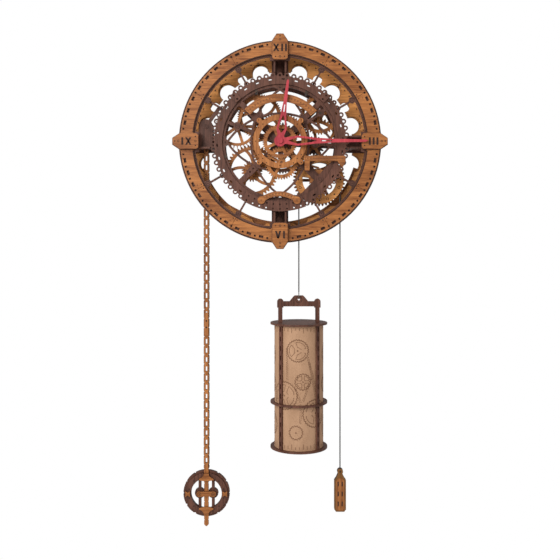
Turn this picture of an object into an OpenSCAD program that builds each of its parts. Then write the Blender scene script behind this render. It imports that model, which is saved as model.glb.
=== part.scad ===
// Wall clock of laser-cut plywood: ring dial, open wheel train, weight, counterweight and long pendulum.
// X runs to the right seen from the front, Z up, and the front looks along -Y.
// The origin is the centre of the hanger hole, in the plane of the wall.

/* [Dial] */
// Clear gap between the chain ring and the dial ring
ring_gap = 29; // [27:0.5:34]
// Width of the light dial ring
dial_ring_w = 23; // [20:0.5:26]
// Width of dark ring that shows inside the dial ring
trim_w = 9; // [7:0.5:10]
// How far the dark ring stands out past the dial ring
rim_lip = 1.5; // [0.5:0.5:3]
// Width of an hour plaque
plaque_w = 26; // [22:1:30]
// Length of an hour plaque along the radius
plaque_l = 43.5; // [38:0.5:46]
// Width of the gap between two dial ring segments
seam_w = 0.4; // [0.2:0.1:0.8]
// Length of the slots along the rim of the dial ring
slot_l = 6.4; // [3:0.2:7]
// Width of those slots
slot_w = 3; // [2:0.2:3.6]

/* [Sheets] */
// Thickness of every plywood sheet
ply = 3; // [2.8:0.1:3.1]
// Running gap between wheels that pass one another
level_gap = 1; // [0.8:0.1:1.2]
// Distance from the wall to the back ring
wall_gap = 30; // [28:1:40]
// Clear distance between the two bridges
bridge_gap = 30; // [29.5:0.5:33]

/* [Frame] */
// Width of the chain ring
chain_w = 19.5; // [18:0.5:21]
// Number of links in the chain ring
chain_links = 60; // [40:1:72]
// Clearance between the third wheel's teeth and the middle of the bridges' rings
bridge_clear = 2.5; // [2.4:0.1:4]
// Width of the bridges' rings
bridge_ring_w = 9; // [8:0.5:10]
// Width of a bridge arm
arm_w = 9; // [8:0.5:11]
// Width of the thin arms beside the cross
lug_w = 5; // [4:0.5:7]
// Radius of the lugs round the arbors
lug_r = 6.5; // [6:0.1:7]
// Width of the curved braces
brace_w = 3.6; // [3:0.2:5]
// Radius of the curved braces
brace_r = 107; // [104:1:112]
// Radius of the round pillars
pillar_r = 3.5; // [3:0.1:3.8]
// Distance between the two struts behind a plaque
strut_pitch = 19; // [16:1:21]
// Radius of the hanger hole
hanger_hole_r = 4.5; // [3:0.5:6]
// Drop from the hanger hole to the dial's centre
hanger_drop = 152; // [150:1:154]
// Radius of the wall feet
foot_r = 6; // [5:0.5:8]

/* [Train] */
// Radius of every wheel arbor
arbor_r = 2.5; // [2:0.1:3]
// Running clearance of an arbor in its hole
run_fit = 0.06; // [0.04:0.01:0.09]
// Tooth module of the great wheel and the centre pinion
heavy_module = 2; // [1.98:0.01:2.01]
// Tooth module of the centre wheel
centre_module = 1.6; // [1.55:0.01:1.62]
// Tooth module of the third wheel
third_module = 1.25; // [1.2:0.01:1.27]
// Tooth module of the motion wheel
motion_module = 1.5; // [1.4:0.02:1.6]
// Play between two flanks, shared by both wheels
backlash = 0.3; // [0.2:0.05:0.5]
// Width of a wheel's rim under its teeth
wheel_rim = 5.5; // [4:0.5:7]
// Radius of a wheel's hub
hub_r = 7; // [6:0.5:8]
// Width of a spoke
spoke_w = 5; // [3:0.5:6]
// Radius at which the cord runs round the pulley
cord_run_r = 35.5; // [33:0.5:36]
// How far the pulley's flanges stand out past the cord's run
flange_lip = 6; // [4:0.5:7]
// Diameter of the cord
cord_d = 1.8; // [1.2:0.1:2]
// Radius of the escape wheel at its tips
escape_r = 38; // [37:0.25:38.25]
// Depth of an escape wheel tooth
escape_tooth = 5; // [4:0.5:6]
// Gap between a pallet and the tips while the pendulum hangs straight
pallet_gap = 0.3; // [0.2:0.05:0.5]
// Width of a pallet's nib
nib_w = 1.6; // [1.2:0.1:1.8]

/* [Hands] */
// Length of the minute hand
minute_l = 148; // [130:1:150]
// Length of the hour hand
hour_l = 105; // [90:1:112]
// Radius of the hands' hubs
hand_hub_r = 9.5; // [8:0.5:11]
// Minutes past twelve that the hands show
shown_minutes = 15; // [0:1:59]

/* [Pendulum] */
// Distance from the pivot to the middle of the bob
pendulum_l = 632; // [560:1:660]
// Width of the rod
rod_w = 9.8; // [8:0.2:11]
// Distance between two links of the rod
link_pitch = 15.8; // [14:0.2:18]
// Outer diameter of the bob
bob_d = 80; // [70:1:90]
// Width of the bob's ring
bob_ring_w = 13.5; // [11:0.5:15]
// Length of rod below the bob
tail_l = 16; // [10:1:24]

/* [Weight] */
// Outer diameter of the weight's end discs
disc_d = 98; // [92:1:99]
// Outer diameter of the weight's tube
tube_d = 84; // [76:1:86]
// Wall of the weight's tube
tube_wall = 1.2; // [0.8:0.1:2]
// Height of the weight's tube
tube_h = 209; // [180:1:230]
// Height of the iron discs in the tube
filling_h = 30; // [20:1:60]
// Height of the bail over the top disc
bail_h = 40; // [34:1:46]
// Height of the weight's top disc below the dial's centre
weight_drop = 308; // [305:1:340]
// Top of the counterweight below the dial's centre
counter_drop = 560; // [500:1:600]
// Height of the counterweight
counter_h = 74; // [60:1:80]
// Width of the counterweight
counter_w = 20; // [16:0.5:22]

/* [Hidden] */
$fn = 96;

light_wood = "#B9783C";
dark_wood = "#5B4038";
pulley_wood = "#A9692F";
red = "#C23B45";
card = "#C89C74";
steel = "silver";
cord_grey = "#77736E";

// Tooth counts of the train, from the great wheel to the escape wheel
great_n = 44;
intermediate_pinion_n = 16;
intermediate_n = 48;
idler_n = 12;
centre_pinion_n = 12;
centre_n = 64;
third_pinion_n = 8;
third_n = 60;
escape_pinion_n = 8;
escape_n = 38;
// Tooth counts of the two wheels that the centre wheel turns beside the train
upper_n = 42;
lower_pinion_n = 21;
lower_n = 44;
// Tooth counts of the motion work, which turns the hour hand once in twelve turns of the minute hand
cannon_n = 12;
motion_n = 36;
motion_pinion_n = 12;
hour_n = 48;
// The hour wheel's module puts both motion pairs on one distance
hour_module = motion_module * (cannon_n + motion_n) / (motion_pinion_n + hour_n);

pressure_angle = 25;
wheel_addendum = 0.7;
pinion_addendum = 0.9;
dedendum = 1.25;
fixed_fit = 0.02;

cross_angles = [45 : 90 : 315];
bridge_pillar_angles = [62, 115, 195, 285];
ring_pillar_angles = [30, 60, 120, 150, 240, 300, 330];
rib_angles = [30, 60, 120, 150, 210, 240, 300, 330];

// Distances from the wall to the back face of each sheet
back_ring_at = wall_gap;
back_bridge_at = back_ring_at + ply;
train_at = back_bridge_at + ply;
function level(n) = train_at + level_gap + n * (ply + level_gap);
front_bridge_at = train_at + bridge_gap;
chain_at = front_bridge_at + ply;
rim_at = chain_at + ply;
dial_at = rim_at + ply;
plaque_at = dial_at + ply;
motion_at = front_bridge_at + ply + level_gap;
hour_at = motion_at + ply + level_gap;
centre_ring_at = hour_at + ply + level_gap;
plate_at = chain_at + 2 * ply;
hour_hand_at = centre_ring_at + ply + 2 * level_gap;
minute_hand_at = hour_hand_at + ply + level_gap;
pulley_w = 3 * ply + 2 * level_gap;
cord_at = level(2) + pulley_w / 2;

// Directions from the centre to the motion wheel and to the two wheels beside the train
motion_way = 274;
upper_way = 36;
lower_way = 225;

// Places of the arbors on the dial, as [right, up] from its centre
great_p = [68, -62.5];
anchor_p = [-127, 28];
escape_p = anchor_p + [escape_r * sqrt(2), 0];
motion_p = polar(motion_module * (cannon_n + motion_n) / 2, motion_way);
upper_p = polar(centre_module * (centre_n + upper_n) / 2, upper_way);
lower_p = polar(centre_module * (centre_n + lower_pinion_n) / 2, lower_way);
great_run = heavy_module * (great_n + intermediate_pinion_n) / 2;
centre_run = heavy_module * (intermediate_n + centre_pinion_n) / 2;
intermediate_p = meet([0, 0], centre_run, great_p, great_run, 1);
idler_p = meet([0, 0], heavy_module * (idler_n + centre_pinion_n) / 2, intermediate_p,
    heavy_module * (intermediate_n + idler_n) / 2, 1);
third_p = meet([0, 0], centre_module * (centre_n + third_pinion_n) / 2, escape_p,
    third_module * (third_n + escape_pinion_n) / 2, -1);

// Radii of the rings, from the bridges outwards
bridge_r = norm(third_p) + third_module * (third_n / 2 + wheel_addendum) + bridge_clear;
bridge_in = bridge_r - bridge_ring_w / 2;
bridge_out = bridge_r + bridge_ring_w / 2;
chain_in = bridge_r;
chain_r = chain_in + chain_w;
dial_in = chain_r + ring_gap;
dial_r = dial_in + dial_ring_w;
trim_in = dial_in - trim_w;
rim_r = dial_r + rim_lip;
pillar_ring_r = (dial_r + dial_in) / 2;

// The back ring's inner edge and the two sizes of its scallops
back_in = dial_in - 20;
scallop_at = back_in + 4;
scallop_r = 15;
small_scallop_r = 8;
// The scalloped band ends this far below the dial's centre
band_end = 40;

// Turn of each wheel that puts its teeth in mesh while the clock rests as drawn
great_turn = 0;
intermediate_pinion_turn = mesh(great_turn, great_n, intermediate_pinion_n, great_p, intermediate_p);
intermediate_turn = 0;
idler_turn = mesh(intermediate_turn, intermediate_n, idler_n, intermediate_p, idler_p);
centre_pinion_turn = mesh(idler_turn, idler_n, centre_pinion_n, idler_p, [0, 0]);
centre_turn = 0;
third_pinion_turn = mesh(centre_turn, centre_n, third_pinion_n, [0, 0], third_p);
third_turn = 0;
upper_turn = mesh(centre_turn, centre_n, upper_n, [0, 0], upper_p);
lower_pinion_turn = mesh(centre_turn, centre_n, lower_pinion_n, [0, 0], lower_p);
escape_pinion_turn = mesh(third_turn, third_n, escape_pinion_n, third_p, escape_p);
motion_turn = mesh(0, cannon_n, motion_n, [0, 0], motion_p);
hour_turn = mesh(0, motion_pinion_n, hour_n, motion_p, [0, 0]);
minute_angle = 90 - 6 * shown_minutes;
hour_angle = 90 - shown_minutes / 2;

// The escapement: the pallets meet the wheel where its radius is square to the anchor's arms
escape_pitch = 360 / escape_n;
pallet_angle = 135;
escape_turn = pallet_angle + escape_pitch / 4;

// The centre ring's ears and the pegs in them
centre_ring_out = 45.5;
centre_ring_in = 36;
ear_at = 49.5;
ear_r = 4.5;

// The two curved name plates, and the pegs of the upper and the side plate
arch_in = 68;
arch_out = 81;
arch_from = 40;
arch_to = 138;
arch_pegs = [45, 135];
low_arch_p = [-1.5, -135];
low_arch_in = 42.5;
low_arch_out = 51;
low_arch_ears = [50, 130];
side_peg_r = 2.2;
side_pegs = [polar(64, -45), polar(bridge_in + side_peg_r, -18)];

// The perforated cover over the lowest links of the chain ring
cover_in = bridge_out - 2;
cover_from = 236;
cover_to = 292;

// The ratchet beside the pulley, and the click that holds it
ratchet_n = 16;
ratchet_r = 20;
click_angle = 130;
click_arm = 31;
click_p = great_p + polar(click_arm, click_angle);
click_pin_r = 1.5;

// Radius of the hour wheel's pipe
pipe_r = 4.6;

// The rod's first link lies this far below the pivot
rod_top = 14;
rod_at = level(2);
rod_l = pendulum_l + bob_d / 2 + tail_l;
bob_p = anchor_p - [0, pendulum_l];

// Width of the strips along the weight's tube, and the radius at which they lie
strip_w = 7;
strip_r = tube_d / 2 + 0.6;

weight_x = great_p[0] - cord_run_r;
counter_x = great_p[0] + cord_run_r;
// Height of the bail's upper edge, of the ring that hangs in it and of the cord's end on that ring
bail_top = -weight_drop + bail_h;
bail_hole_z = bail_top - 1;
bail_hole_r = 1.8;
hook_r = 5.6;
hook_wire_r = 0.7;
// The ring is pulled up against the upper edge of its hole
hook_z = bail_hole_z + hook_r + bail_hole_r - hook_wire_r - 0.25;
cord_end_z = hook_z + hook_r + hook_wire_r;

// Point at distance ra from a and rb from b, on the left of the way from a to b where side is 1
function meet(a, ra, b, rb, side) =
    let (
        gap = norm(b - a),
        along = (ra * ra - rb * rb + gap * gap) / (2 * gap),
        off = sqrt(ra * ra - along * along),
        u = (b - a) / gap
    )
    a + along * u + side * off * [-u[1], u[0]];

function bearing(a, b) = atan2(b[1] - a[1], b[0] - a[0]);

// Turn of wheel b that meshes with wheel a
function mesh(turn_a, n_a, n_b, a, b) =
    let (way = bearing(a, b)) way + 180 - 180 / n_b + (way - turn_a) * n_a / n_b;

function polar(r, a) = [r * cos(a), r * sin(a)];
function roll(r, base) = let (p = acos(base / r)) tan(p) * 180 / PI - p;

// Outline of an involute wheel: root, base where it lies above the root, pitch circle and tip
function gear_points(n, m, addendum) =
    let (
        pitch = n * m / 2,
        base = pitch * cos(pressure_angle),
        root = pitch - dedendum * m,
        tip = pitch + addendum * m,
        steps = root < base ? [root, base, pitch, tip] : [root, pitch, tip],
        half = 90 / n - backlash / 4 / pitch * 180 / PI,
        at = [for (r = steps) half + roll(pitch, base) - roll(max(r, base), base)],
        last = len(steps) - 1
    )
    [for (t = [0 : n - 1]) each concat(
        [for (i = [0 : last]) polar(steps[i], t * 360 / n - at[i])],
        [for (i = [last : -1 : 0]) polar(steps[i], t * 360 / n + at[i])]
    )];

module at_dial() {
    translate([0, 0, -hanger_drop]) children();
}

// A flat piece, drawn as seen from the front, with its back face at distance d from the wall
module sheet(d, thick = ply) {
    at_dial() translate([0, -d, 0]) rotate([90, 0, 0]) linear_extrude(thick) children();
}

// A round bar square to the wall
module bar(p, d, long, r) {
    at_dial() translate([p[0], -d, p[1]]) rotate([90, 0, 0]) cylinder(h = long, r = r);
}

// A flat piece that stands on edge along a radius, drawn as distance from the centre and from the wall
module fin(a, off = 0, thick = ply) {
    at_dial() rotate([0, -a, 0]) translate([0, 0, off]) mirror([0, 1, 0])
        linear_extrude(thick, center = true) children();
}

module ring(outer, inner) {
    difference() {
        circle(outer);
        circle(inner);
    }
}

module beam(a, b, w) {
    way = bearing(a, b);
    translate(a) rotate(way) translate([0, -w / 2]) square([norm(b - a), w]);
}

// Openings between a hub and a rim, parted by straight spokes
module windows(rim, hub, count, w) {
    difference() {
        circle(rim);
        circle(hub);
        for (i = [0 : count - 1]) rotate(i * 360 / count) translate([0, -w / 2]) square([rim + 1, w]);
    }
}

// Openings parted by spokes that bow sideways, each a strip between two circles
module bowed_windows(rim, hub, count, w) {
    bow = rim * 0.9;
    difference() {
        circle(rim);
        circle(hub);
        for (i = [0 : count - 1]) rotate(i * 360 / count) intersection() {
            translate([0, bow]) ring(bow + w / 2, bow - w / 2);
            translate([0, -w]) square([rim + 1, rim]);
        }
    }
}

module wheel(n, m, turn, bore, spokes, bowed = false) {
    root = n * m / 2 - dedendum * m;
    difference() {
        rotate(turn) polygon(gear_points(n, m, wheel_addendum));
        if (bowed) bowed_windows(root - wheel_rim, hub_r, spokes, spoke_w);
        else rotate(turn) windows(root - wheel_rim, hub_r, spokes, spoke_w);
        circle(bore);
    }
}

module pinion(n, m, turn, bore) {
    difference() {
        rotate(turn) polygon(gear_points(n, m, pinion_addendum));
        circle(bore);
    }
}

module hole_at(p, r) {
    translate(p) circle(r);
}

module wall_hanger() {
    plate_w = 44;
    plate_h = 34;
    cheek_x = 15;
    color(light_wood) at_dial() {
        translate([-plate_w / 2, -ply, hanger_drop - plate_h / 2]) difference() {
            cube([plate_w, ply, plate_h]);
            translate([plate_w / 2, -1, plate_h / 2]) rotate([-90, 0, 0])
                cylinder(h = ply + 2, r = hanger_hole_r);
        }
        for (s = [-1, 1]) translate([s * cheek_x - ply / 2, -wall_gap, hanger_drop - plate_h / 2])
            cube([ply, wall_gap - ply, 28]);
    }
}

module wall_feet() {
    color(dark_wood) for (a = [240, 300]) {
        bar(polar(pillar_ring_r, a), ply, wall_gap - ply, foot_r);
        bar(polar(pillar_ring_r, a), 0, ply, foot_r + 3);
    }
}

module back_ring() {
    color(light_wood) sheet(back_ring_at) difference() {
        ring(dial_r - 2, back_in);
        for (h = [0 : 11]) rotate(h * 30 + 15) translate([scallop_at, 0]) circle(scallop_r);
        for (a = rib_angles) rotate(a) translate([scallop_at, 0]) circle(small_scallop_r);
        // the lower half has no scalloped band
        intersection() {
            circle(trim_in + 1);
            translate([-dial_r, -dial_r - band_end]) square([2 * dial_r, dial_r]);
        }
        for (a = ring_pillar_angles) hole_at(polar(pillar_ring_r, a), pillar_r + fixed_fit);
    }
}

// What both bridges share: ring, cross of four arms and the lugs for the arbors beside the arms
module bridge_shape() {
    ring(bridge_out, bridge_in);
    circle(arm_w * 1.4);
    for (a = cross_angles) beam([0, 0], polar(bridge_r, a), arm_w);
    for (p = [intermediate_p, escape_p, upper_p])
        beam([0, 0], polar(bridge_r, bearing([0, 0], p)), lug_w);
    for (p = [third_p, great_p, intermediate_p, escape_p, upper_p, lower_p]) hole_at(p, lug_r);
}

module arbor_holes() {
    hole_at([0, 0], arbor_r + run_fit);
    for (p = [great_p, intermediate_p, third_p, escape_p]) hole_at(p, arbor_r + run_fit);
    for (p = [upper_p, lower_p]) hole_at(p, arbor_r + fixed_fit);
}

module back_bridge() {
    color(dark_wood) sheet(back_bridge_at) difference() {
        union() {
            bridge_shape();
            for (a = [0, 90, 180, 270]) beam(polar(bridge_r, a), polar(dial_in + 8, a), strut_pitch + 10);
            beam([0, 0], idler_p, arm_w);
            hole_at(idler_p, arm_w / 2 + 2);
        }
        arbor_holes();
        hole_at(idler_p, arbor_r + fixed_fit);
    }
}

// Pillars between the back ring and the rim, and the dowels that carry the centre ring and the bare
// name plates in front of the bridge
module ring_pillars() {
    dowel_r = 2.6;
    color(dark_wood) {
        for (a = ring_pillar_angles)
            bar(polar(pillar_ring_r, a), back_ring_at, rim_at - back_ring_at, pillar_r);
        for (a = cross_angles) bar(polar(ear_at, a), chain_at, centre_ring_at - chain_at, dowel_r);
        for (a = arch_pegs)
            bar(polar((arch_in + arch_out) / 2, a), chain_at, plate_at - chain_at, dowel_r);
        for (p = side_pegs) bar(p, chain_at, plate_at - chain_at, side_peg_r);
    }
}

// The pair of struts behind each plaque; the one under the pendulum has an opening for its rod
module quarter_struts() {
    foot = chain_r - 5.5;
    color(dark_wood) for (a = [0, 90, 180, 270]) for (s = a == 180 ? [1] : [-1, 1])
        fin(a, s * strut_pitch / 2) difference() {
            polygon([
                [foot, train_at], [dial_in + 6, train_at], [dial_in + 6, rim_at],
                [chain_r + 1, rim_at], [chain_r + 1, chain_at], [foot, chain_at]
            ]);
            if (a == 180) translate([-anchor_p[0] - 10, level(1)]) square([20, 4 * (ply + level_gap)]);
            else translate([chain_r + 6, level(1)]) square([10, 4 * ply]);
        }
}

module hour_ribs() {
    color(dark_wood) for (a = rib_angles) fin(a) polygon([
        [bridge_out + 1, front_bridge_at], [dial_in + 3, front_bridge_at], [dial_in + 3, rim_at],
        [chain_r + 1, rim_at], [chain_r + 1, chain_at], [bridge_out + 1, chain_at]
    ]);
}

module rim_ring() {
    boss_r = 5.4;
    color(dark_wood) sheet(rim_at) union() {
        ring(rim_r, trim_in);
        for (a = rib_angles) hole_at(polar(trim_in + 3, a), boss_r);
    }
}

module dial_ring() {
    slot_at = 6.2;
    color(light_wood) sheet(dial_at) difference() {
        ring(dial_r, dial_in);
        for (h = [0 : 11]) rotate(h * 30) translate([dial_in - 1, -seam_w / 2])
            square([dial_ring_w + 2, seam_w]);
        for (i = [0 : 47]) rotate(i * 7.5 + 3.75) {
            translate([dial_r - slot_at, 0]) square([slot_w, slot_l], center = true);
            rotate(3.75) translate([dial_r - slot_at + 1, 0]) square([2, 2], center = true);
        }
    }
}

module plaque_shape(grow) {
    half = plaque_w / 2 + grow;
    low = dial_in - 9.5 - grow;
    high = low + plaque_l + 2 * grow;
    polygon([
        [low, -half + 3], [low + 3, -half], [high - 12, -half], [high, -half + 8],
        [high, half - 8], [high - 12, half], [low + 3, half], [low, half - 3]
    ]);
}

module plaque_backs() {
    color(dark_wood) sheet(plaque_at) for (a = [0, 90, 180, 270]) rotate(a) plaque_shape(0.8);
}

module hour_plaques() {
    color(light_wood) sheet(plaque_at + ply) for (a = [0, 90, 180, 270]) rotate(a) plaque_shape(0);
}

module front_bridge() {
    brace_off = brace_r - bridge_in / 2 - 2;
    color(dark_wood) sheet(front_bridge_at) difference() {
        union() {
            bridge_shape();
            beam([0, 0], motion_p, arm_w);
            hole_at(motion_p, lug_r);
            // the chord that carries the great wheel's arbor
            beam(polar(bridge_r, -66), polar(bridge_r, -20), arm_w);
            intersection() {
                circle(bridge_r);
                for (a = [0, 90, 180, 270]) rotate(a) translate([brace_off, 0])
                    ring(brace_r + brace_w / 2, brace_r - brace_w / 2);
            }
        }
        arbor_holes();
        hole_at(motion_p, arbor_r + fixed_fit);
    }
}

module bridge_pillars() {
    color(pulley_wood) for (a = bridge_pillar_angles)
        bar(polar(bridge_r, a), train_at, bridge_gap, pillar_r);
}

// Ring of links: two rows of round eyes joined side by side, like a driving chain laid in a circle
module chain_ring() {
    step = 360 / chain_links;
    eye = PI * (chain_r - 3.4) / chain_links * 0.74;
    color(dark_wood) sheet(chain_at) difference() {
        union() {
            ring(chain_r - 5, chain_in);
            for (i = [0 : chain_links - 1]) rotate(i * step) translate([chain_r - eye, 0]) circle(eye);
        }
        for (i = [0 : chain_links - 1]) rotate(i * step) translate([chain_r - eye, 0]) circle(eye * 0.46);
        for (i = [0 : chain_links / 2 - 1]) rotate((i * 2 + 0.5) * step)
            translate([chain_r - 11, 0]) square([2.4, 5], center = true);
    }
}

module centre_ring() {
    color(light_wood) sheet(centre_ring_at) difference() {
        union() {
            ring(centre_ring_out, centre_ring_in);
            for (a = cross_angles) {
                hole_at(polar(ear_at, a), ear_r);
                beam(polar(centre_ring_out - 2, a), polar(ear_at, a), 1.8 * ear_r);
            }
        }
        for (i = [0 : 7]) rotate(i * 45) translate([centre_ring_in + 5, 0]) circle(0.9);
    }
}

// Blocks with two holes, two on the chain ring and one over the lower wheel's stud, and the perforated
// cover over the chain ring
module bearing_blocks() {
    block_w = 12;
    block_l = 16;
    hole_off = 4;
    hole_r = 1.6;
    color(dark_wood) {
        for (a = arch_pegs) sheet(rim_at) rotate(a) difference() {
            translate([chain_in + 0.5, -block_w / 2]) square([block_l, block_w]);
            for (s = [-1, 1]) translate([chain_in + block_l / 2 + s * hole_off, 0]) circle(hole_r);
        }
        sheet(chain_at) translate(lower_p) rotate(lower_way) difference() {
            square([block_l, block_w], center = true);
            for (s = [-1, 1]) translate([s * hole_off, 0]) circle(hole_r);
        }
        sheet(rim_at) difference() {
            arc_band(chain_r, cover_in, cover_from, cover_to);
            for (a = [cover_from + 4 : 6 : cover_to]) for (r = [cover_in + 5, chain_r - 4])
                hole_at(polar(r, a), 1.3);
        }
    }
}

module arc_band(outer, inner, from, to) {
    steps = 24;
    intersection() {
        ring(outer, inner);
        polygon(concat([[0, 0]], [for (i = [0 : steps])
            polar(outer * 1.2, from + (to - from) * i / steps)]));
    }
}

// The two curved name plates, both bare
module arch_plates() {
    color(light_wood) {
        sheet(plate_at) arc_band(arch_out, arch_in, arch_from, arch_to);
        sheet(plate_at) translate(low_arch_p) {
            arc_band(low_arch_out, low_arch_in, low_arch_ears[0], low_arch_ears[1]);
            for (a = low_arch_ears) hole_at(polar((low_arch_in + low_arch_out) / 2, a), 6.4);
        }
    }
}

module side_plate() {
    color(light_wood) sheet(plate_at) polygon([
        [40, -24], [111, -24], [111, -34], [106, -44], [100, -38], [97, -33],
        [50, -33], [50, -49], [41.5, -49], [41.5, -33], [40, -31]
    ]);
}

module pendulum_bracket() {
    left = anchor_p[0] - 12;
    low = -strut_pitch / 2 + ply / 2;
    color(dark_wood) {
        for (d = [level(0), level(6)]) sheet(d) difference() {
            union() {
                translate([left, low]) square([24, anchor_p[1] - low]);
                hole_at(anchor_p, 12);
            }
            hole_at(anchor_p, arbor_r + run_fit);
        }
        // the two spacers that hold the bracket's plates apart, seated on the strut
        for (x = [left + 1, left + 21]) sheet(level(0) + ply, level(6) - level(0) - ply)
            translate([x, low]) square([2, 6]);
    }
}

module cord_over_pulley() {
    color(cord_grey) at_dial() translate([great_p[0], -cord_at, great_p[1]]) rotate([90, 0, 0])
        rotate_extrude(angle = 180) translate([cord_run_r, 0]) circle(r = cord_d / 2, $fn = 24);
}

// The studs that carry the idler, the motion wheel and the two wheels beside the train, and the screw
// heads over the bridge's pillars
module bridge_fasteners() {
    color(steel) {
        for (a = bridge_pillar_angles) bar(polar(bridge_in + 1.5, a), chain_at, 1.6, 2.6);
        bar(idler_p, back_bridge_at, level(2) + ply + 0.6 - back_bridge_at, arbor_r);
        bar(motion_p, front_bridge_at, hour_at + ply + 0.6 - front_bridge_at, arbor_r);
        for (p = [upper_p, lower_p]) bar(p, back_bridge_at, chain_at - back_bridge_at, arbor_r);
    }
}

module great_wheel() {
    color(light_wood) sheet(level(0)) translate(great_p)
        wheel(great_n, heavy_module, great_turn, arbor_r + fixed_fit, 6);
}

module pulley() {
    flange = cord_run_r + flange_lip;
    floor_r = cord_run_r - cord_d / 2 - 0.3;
    color(pulley_wood) at_dial() translate([great_p[0], -level(2), great_p[1]]) rotate([90, 0, 0])
        difference() {
            union() {
                cylinder(h = pulley_w, r = floor_r);
                cylinder(h = ply, r = flange);
                translate([0, 0, pulley_w - ply]) cylinder(h = ply, r = flange);
            }
            translate([0, 0, -1]) cylinder(h = pulley_w + 2, r = arbor_r + fixed_fit);
            // three curved windows through the drum
            for (i = [0 : 2]) translate([0, 0, -1]) linear_extrude(pulley_w + 2)
                arc_band(floor_r - 5, hub_r + 5, i * 120 + 50, i * 120 + 130);
        }
}

module ratchet_wheel() {
    color(light_wood) sheet(level(5) - level_gap) translate(great_p) difference() {
        polygon([for (t = [0 : ratchet_n - 1]) each [
            polar(ratchet_r, t * 360 / ratchet_n),
            polar(ratchet_r - 4, t * 360 / ratchet_n + 1)
        ]]);
        circle(arbor_r + fixed_fit);
    }
}

module click_plate() {
    color(dark_wood) sheet(level(6) - level_gap) translate(great_p) difference() {
        union() {
            circle(hub_r + 2);
            for (a = [click_angle, click_angle + 120, click_angle + 240]) {
                beam([0, 0], polar(click_arm, a), 7);
                hole_at(polar(click_arm, a), 5);
            }
        }
        circle(arbor_r + fixed_fit);
    }
    color(steel) bar(click_p, level(5) - level_gap + 0.3, ply + level_gap - 0.6, click_pin_r);
}

// The click lies in front of a tooth's steep face, so that the weight drives the great wheel through it
module click() {
    tip = 92.4;
    color(pulley_wood) sheet(level(5) - level_gap + 0.3, ply - 0.6) difference() {
        union() {
            hole_at(click_p, 3.8);
            polygon([
                great_p + polar(ratchet_r - 2.8, tip), great_p + polar(ratchet_r + 1.2, tip),
                click_p + polar(3, 70), click_p
            ]);
        }
        hole_at(click_p, click_pin_r + run_fit);
    }
}

module great_arbor() {
    color(steel) bar(great_p, back_bridge_at, chain_at - back_bridge_at, arbor_r);
}

module intermediate_wheel() {
    color(light_wood) sheet(level(1)) translate(intermediate_p)
        wheel(intermediate_n, heavy_module, intermediate_turn, arbor_r + fixed_fit, 5, true);
}

module intermediate_pinion() {
    color(dark_wood) sheet(level(0)) translate(intermediate_p)
        pinion(intermediate_pinion_n, heavy_module, intermediate_pinion_turn, arbor_r + fixed_fit);
}

module intermediate_arbor() {
    color(steel) bar(intermediate_p, back_bridge_at, chain_at - back_bridge_at, arbor_r);
}

module idler_pinion() {
    color(dark_wood) sheet(level(1), 2 * ply + level_gap) translate(idler_p)
        pinion(idler_n, heavy_module, idler_turn, arbor_r + run_fit);
}

module centre_wheel() {
    color(light_wood) sheet(level(3))
        wheel(centre_n, centre_module, centre_turn, arbor_r + fixed_fit, 5, true);
}

module centre_pinion() {
    color(dark_wood) sheet(level(2))
        pinion(centre_pinion_n, heavy_module, centre_pinion_turn, arbor_r + fixed_fit);
}

module centre_arbor() {
    color(steel) bar([0, 0], back_bridge_at, minute_hand_at + ply - back_bridge_at, arbor_r);
}

module cannon_pinion() {
    color(dark_wood) sheet(motion_at) pinion(cannon_n, motion_module, 0, arbor_r + fixed_fit);
}

// A pierced hand: hub, two sides that part round a long opening, and a slim point
module hand(long, turn, bore, side) {
    rotate(turn) difference() {
        union() {
            circle(hand_hub_r);
            polygon([
                [hand_hub_r * 0.6, -4.6], [long * 0.2, -side], [long * 0.4, -side * 0.58],
                [long * 0.62, -3], [long * 0.97, -2], [long, 0], [long * 0.97, 2],
                [long * 0.62, 3], [long * 0.4, side * 0.58], [long * 0.2, side], [hand_hub_r * 0.6, 4.6]
            ]);
        }
        circle(bore);
        polygon([
            [hand_hub_r + 4, 0], [long * 0.2, 3.4 - side], [long * 0.36, 2.6 - side * 0.58],
            [long * 0.42, 0], [long * 0.36, side * 0.58 - 2.6], [long * 0.2, side - 3.4]
        ]);
        translate([long * 0.47, -0.9]) square([long * 0.12, 1.8]);
    }
}

module minute_hand() {
    color(red) {
        sheet(minute_hand_at) hand(minute_l, minute_angle, arbor_r + fixed_fit, 8.6);
        // the nut in front of it
        bar([0, 0], minute_hand_at + ply, ply, 5);
    }
}

module upper_wheel() {
    color(light_wood) sheet(level(3)) translate(upper_p)
        wheel(upper_n, centre_module, upper_turn, arbor_r + run_fit, 3, true);
}

// A large wheel behind the lower left arm, in one piece with the pinion that the centre wheel turns
module lower_wheel() {
    color(light_wood) {
        sheet(level(3), ply + level_gap) translate(lower_p)
            pinion(lower_pinion_n, centre_module, lower_pinion_turn, arbor_r + run_fit);
        sheet(level(4)) translate(lower_p)
            wheel(lower_n, heavy_module, 0, arbor_r + run_fit, 5, true);
    }
}

module hour_wheel() {
    color(light_wood) {
        sheet(hour_at) wheel(hour_n, hour_module, hour_turn, arbor_r + run_fit, 4);
        sheet(hour_at + ply, hour_hand_at + ply - hour_at - ply) ring(pipe_r, arbor_r + run_fit);
    }
}

module hour_hand() {
    color(red) sheet(hour_hand_at) hand(hour_l, hour_angle, pipe_r + fixed_fit, 8.8);
}

module motion_wheel() {
    color(light_wood) {
        sheet(motion_at) translate(motion_p)
            wheel(motion_n, motion_module, motion_turn, arbor_r + run_fit, 4);
        sheet(motion_at + ply, level_gap + ply) translate(motion_p)
            pinion(motion_pinion_n, hour_module, 0, arbor_r + run_fit);
    }
}

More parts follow.
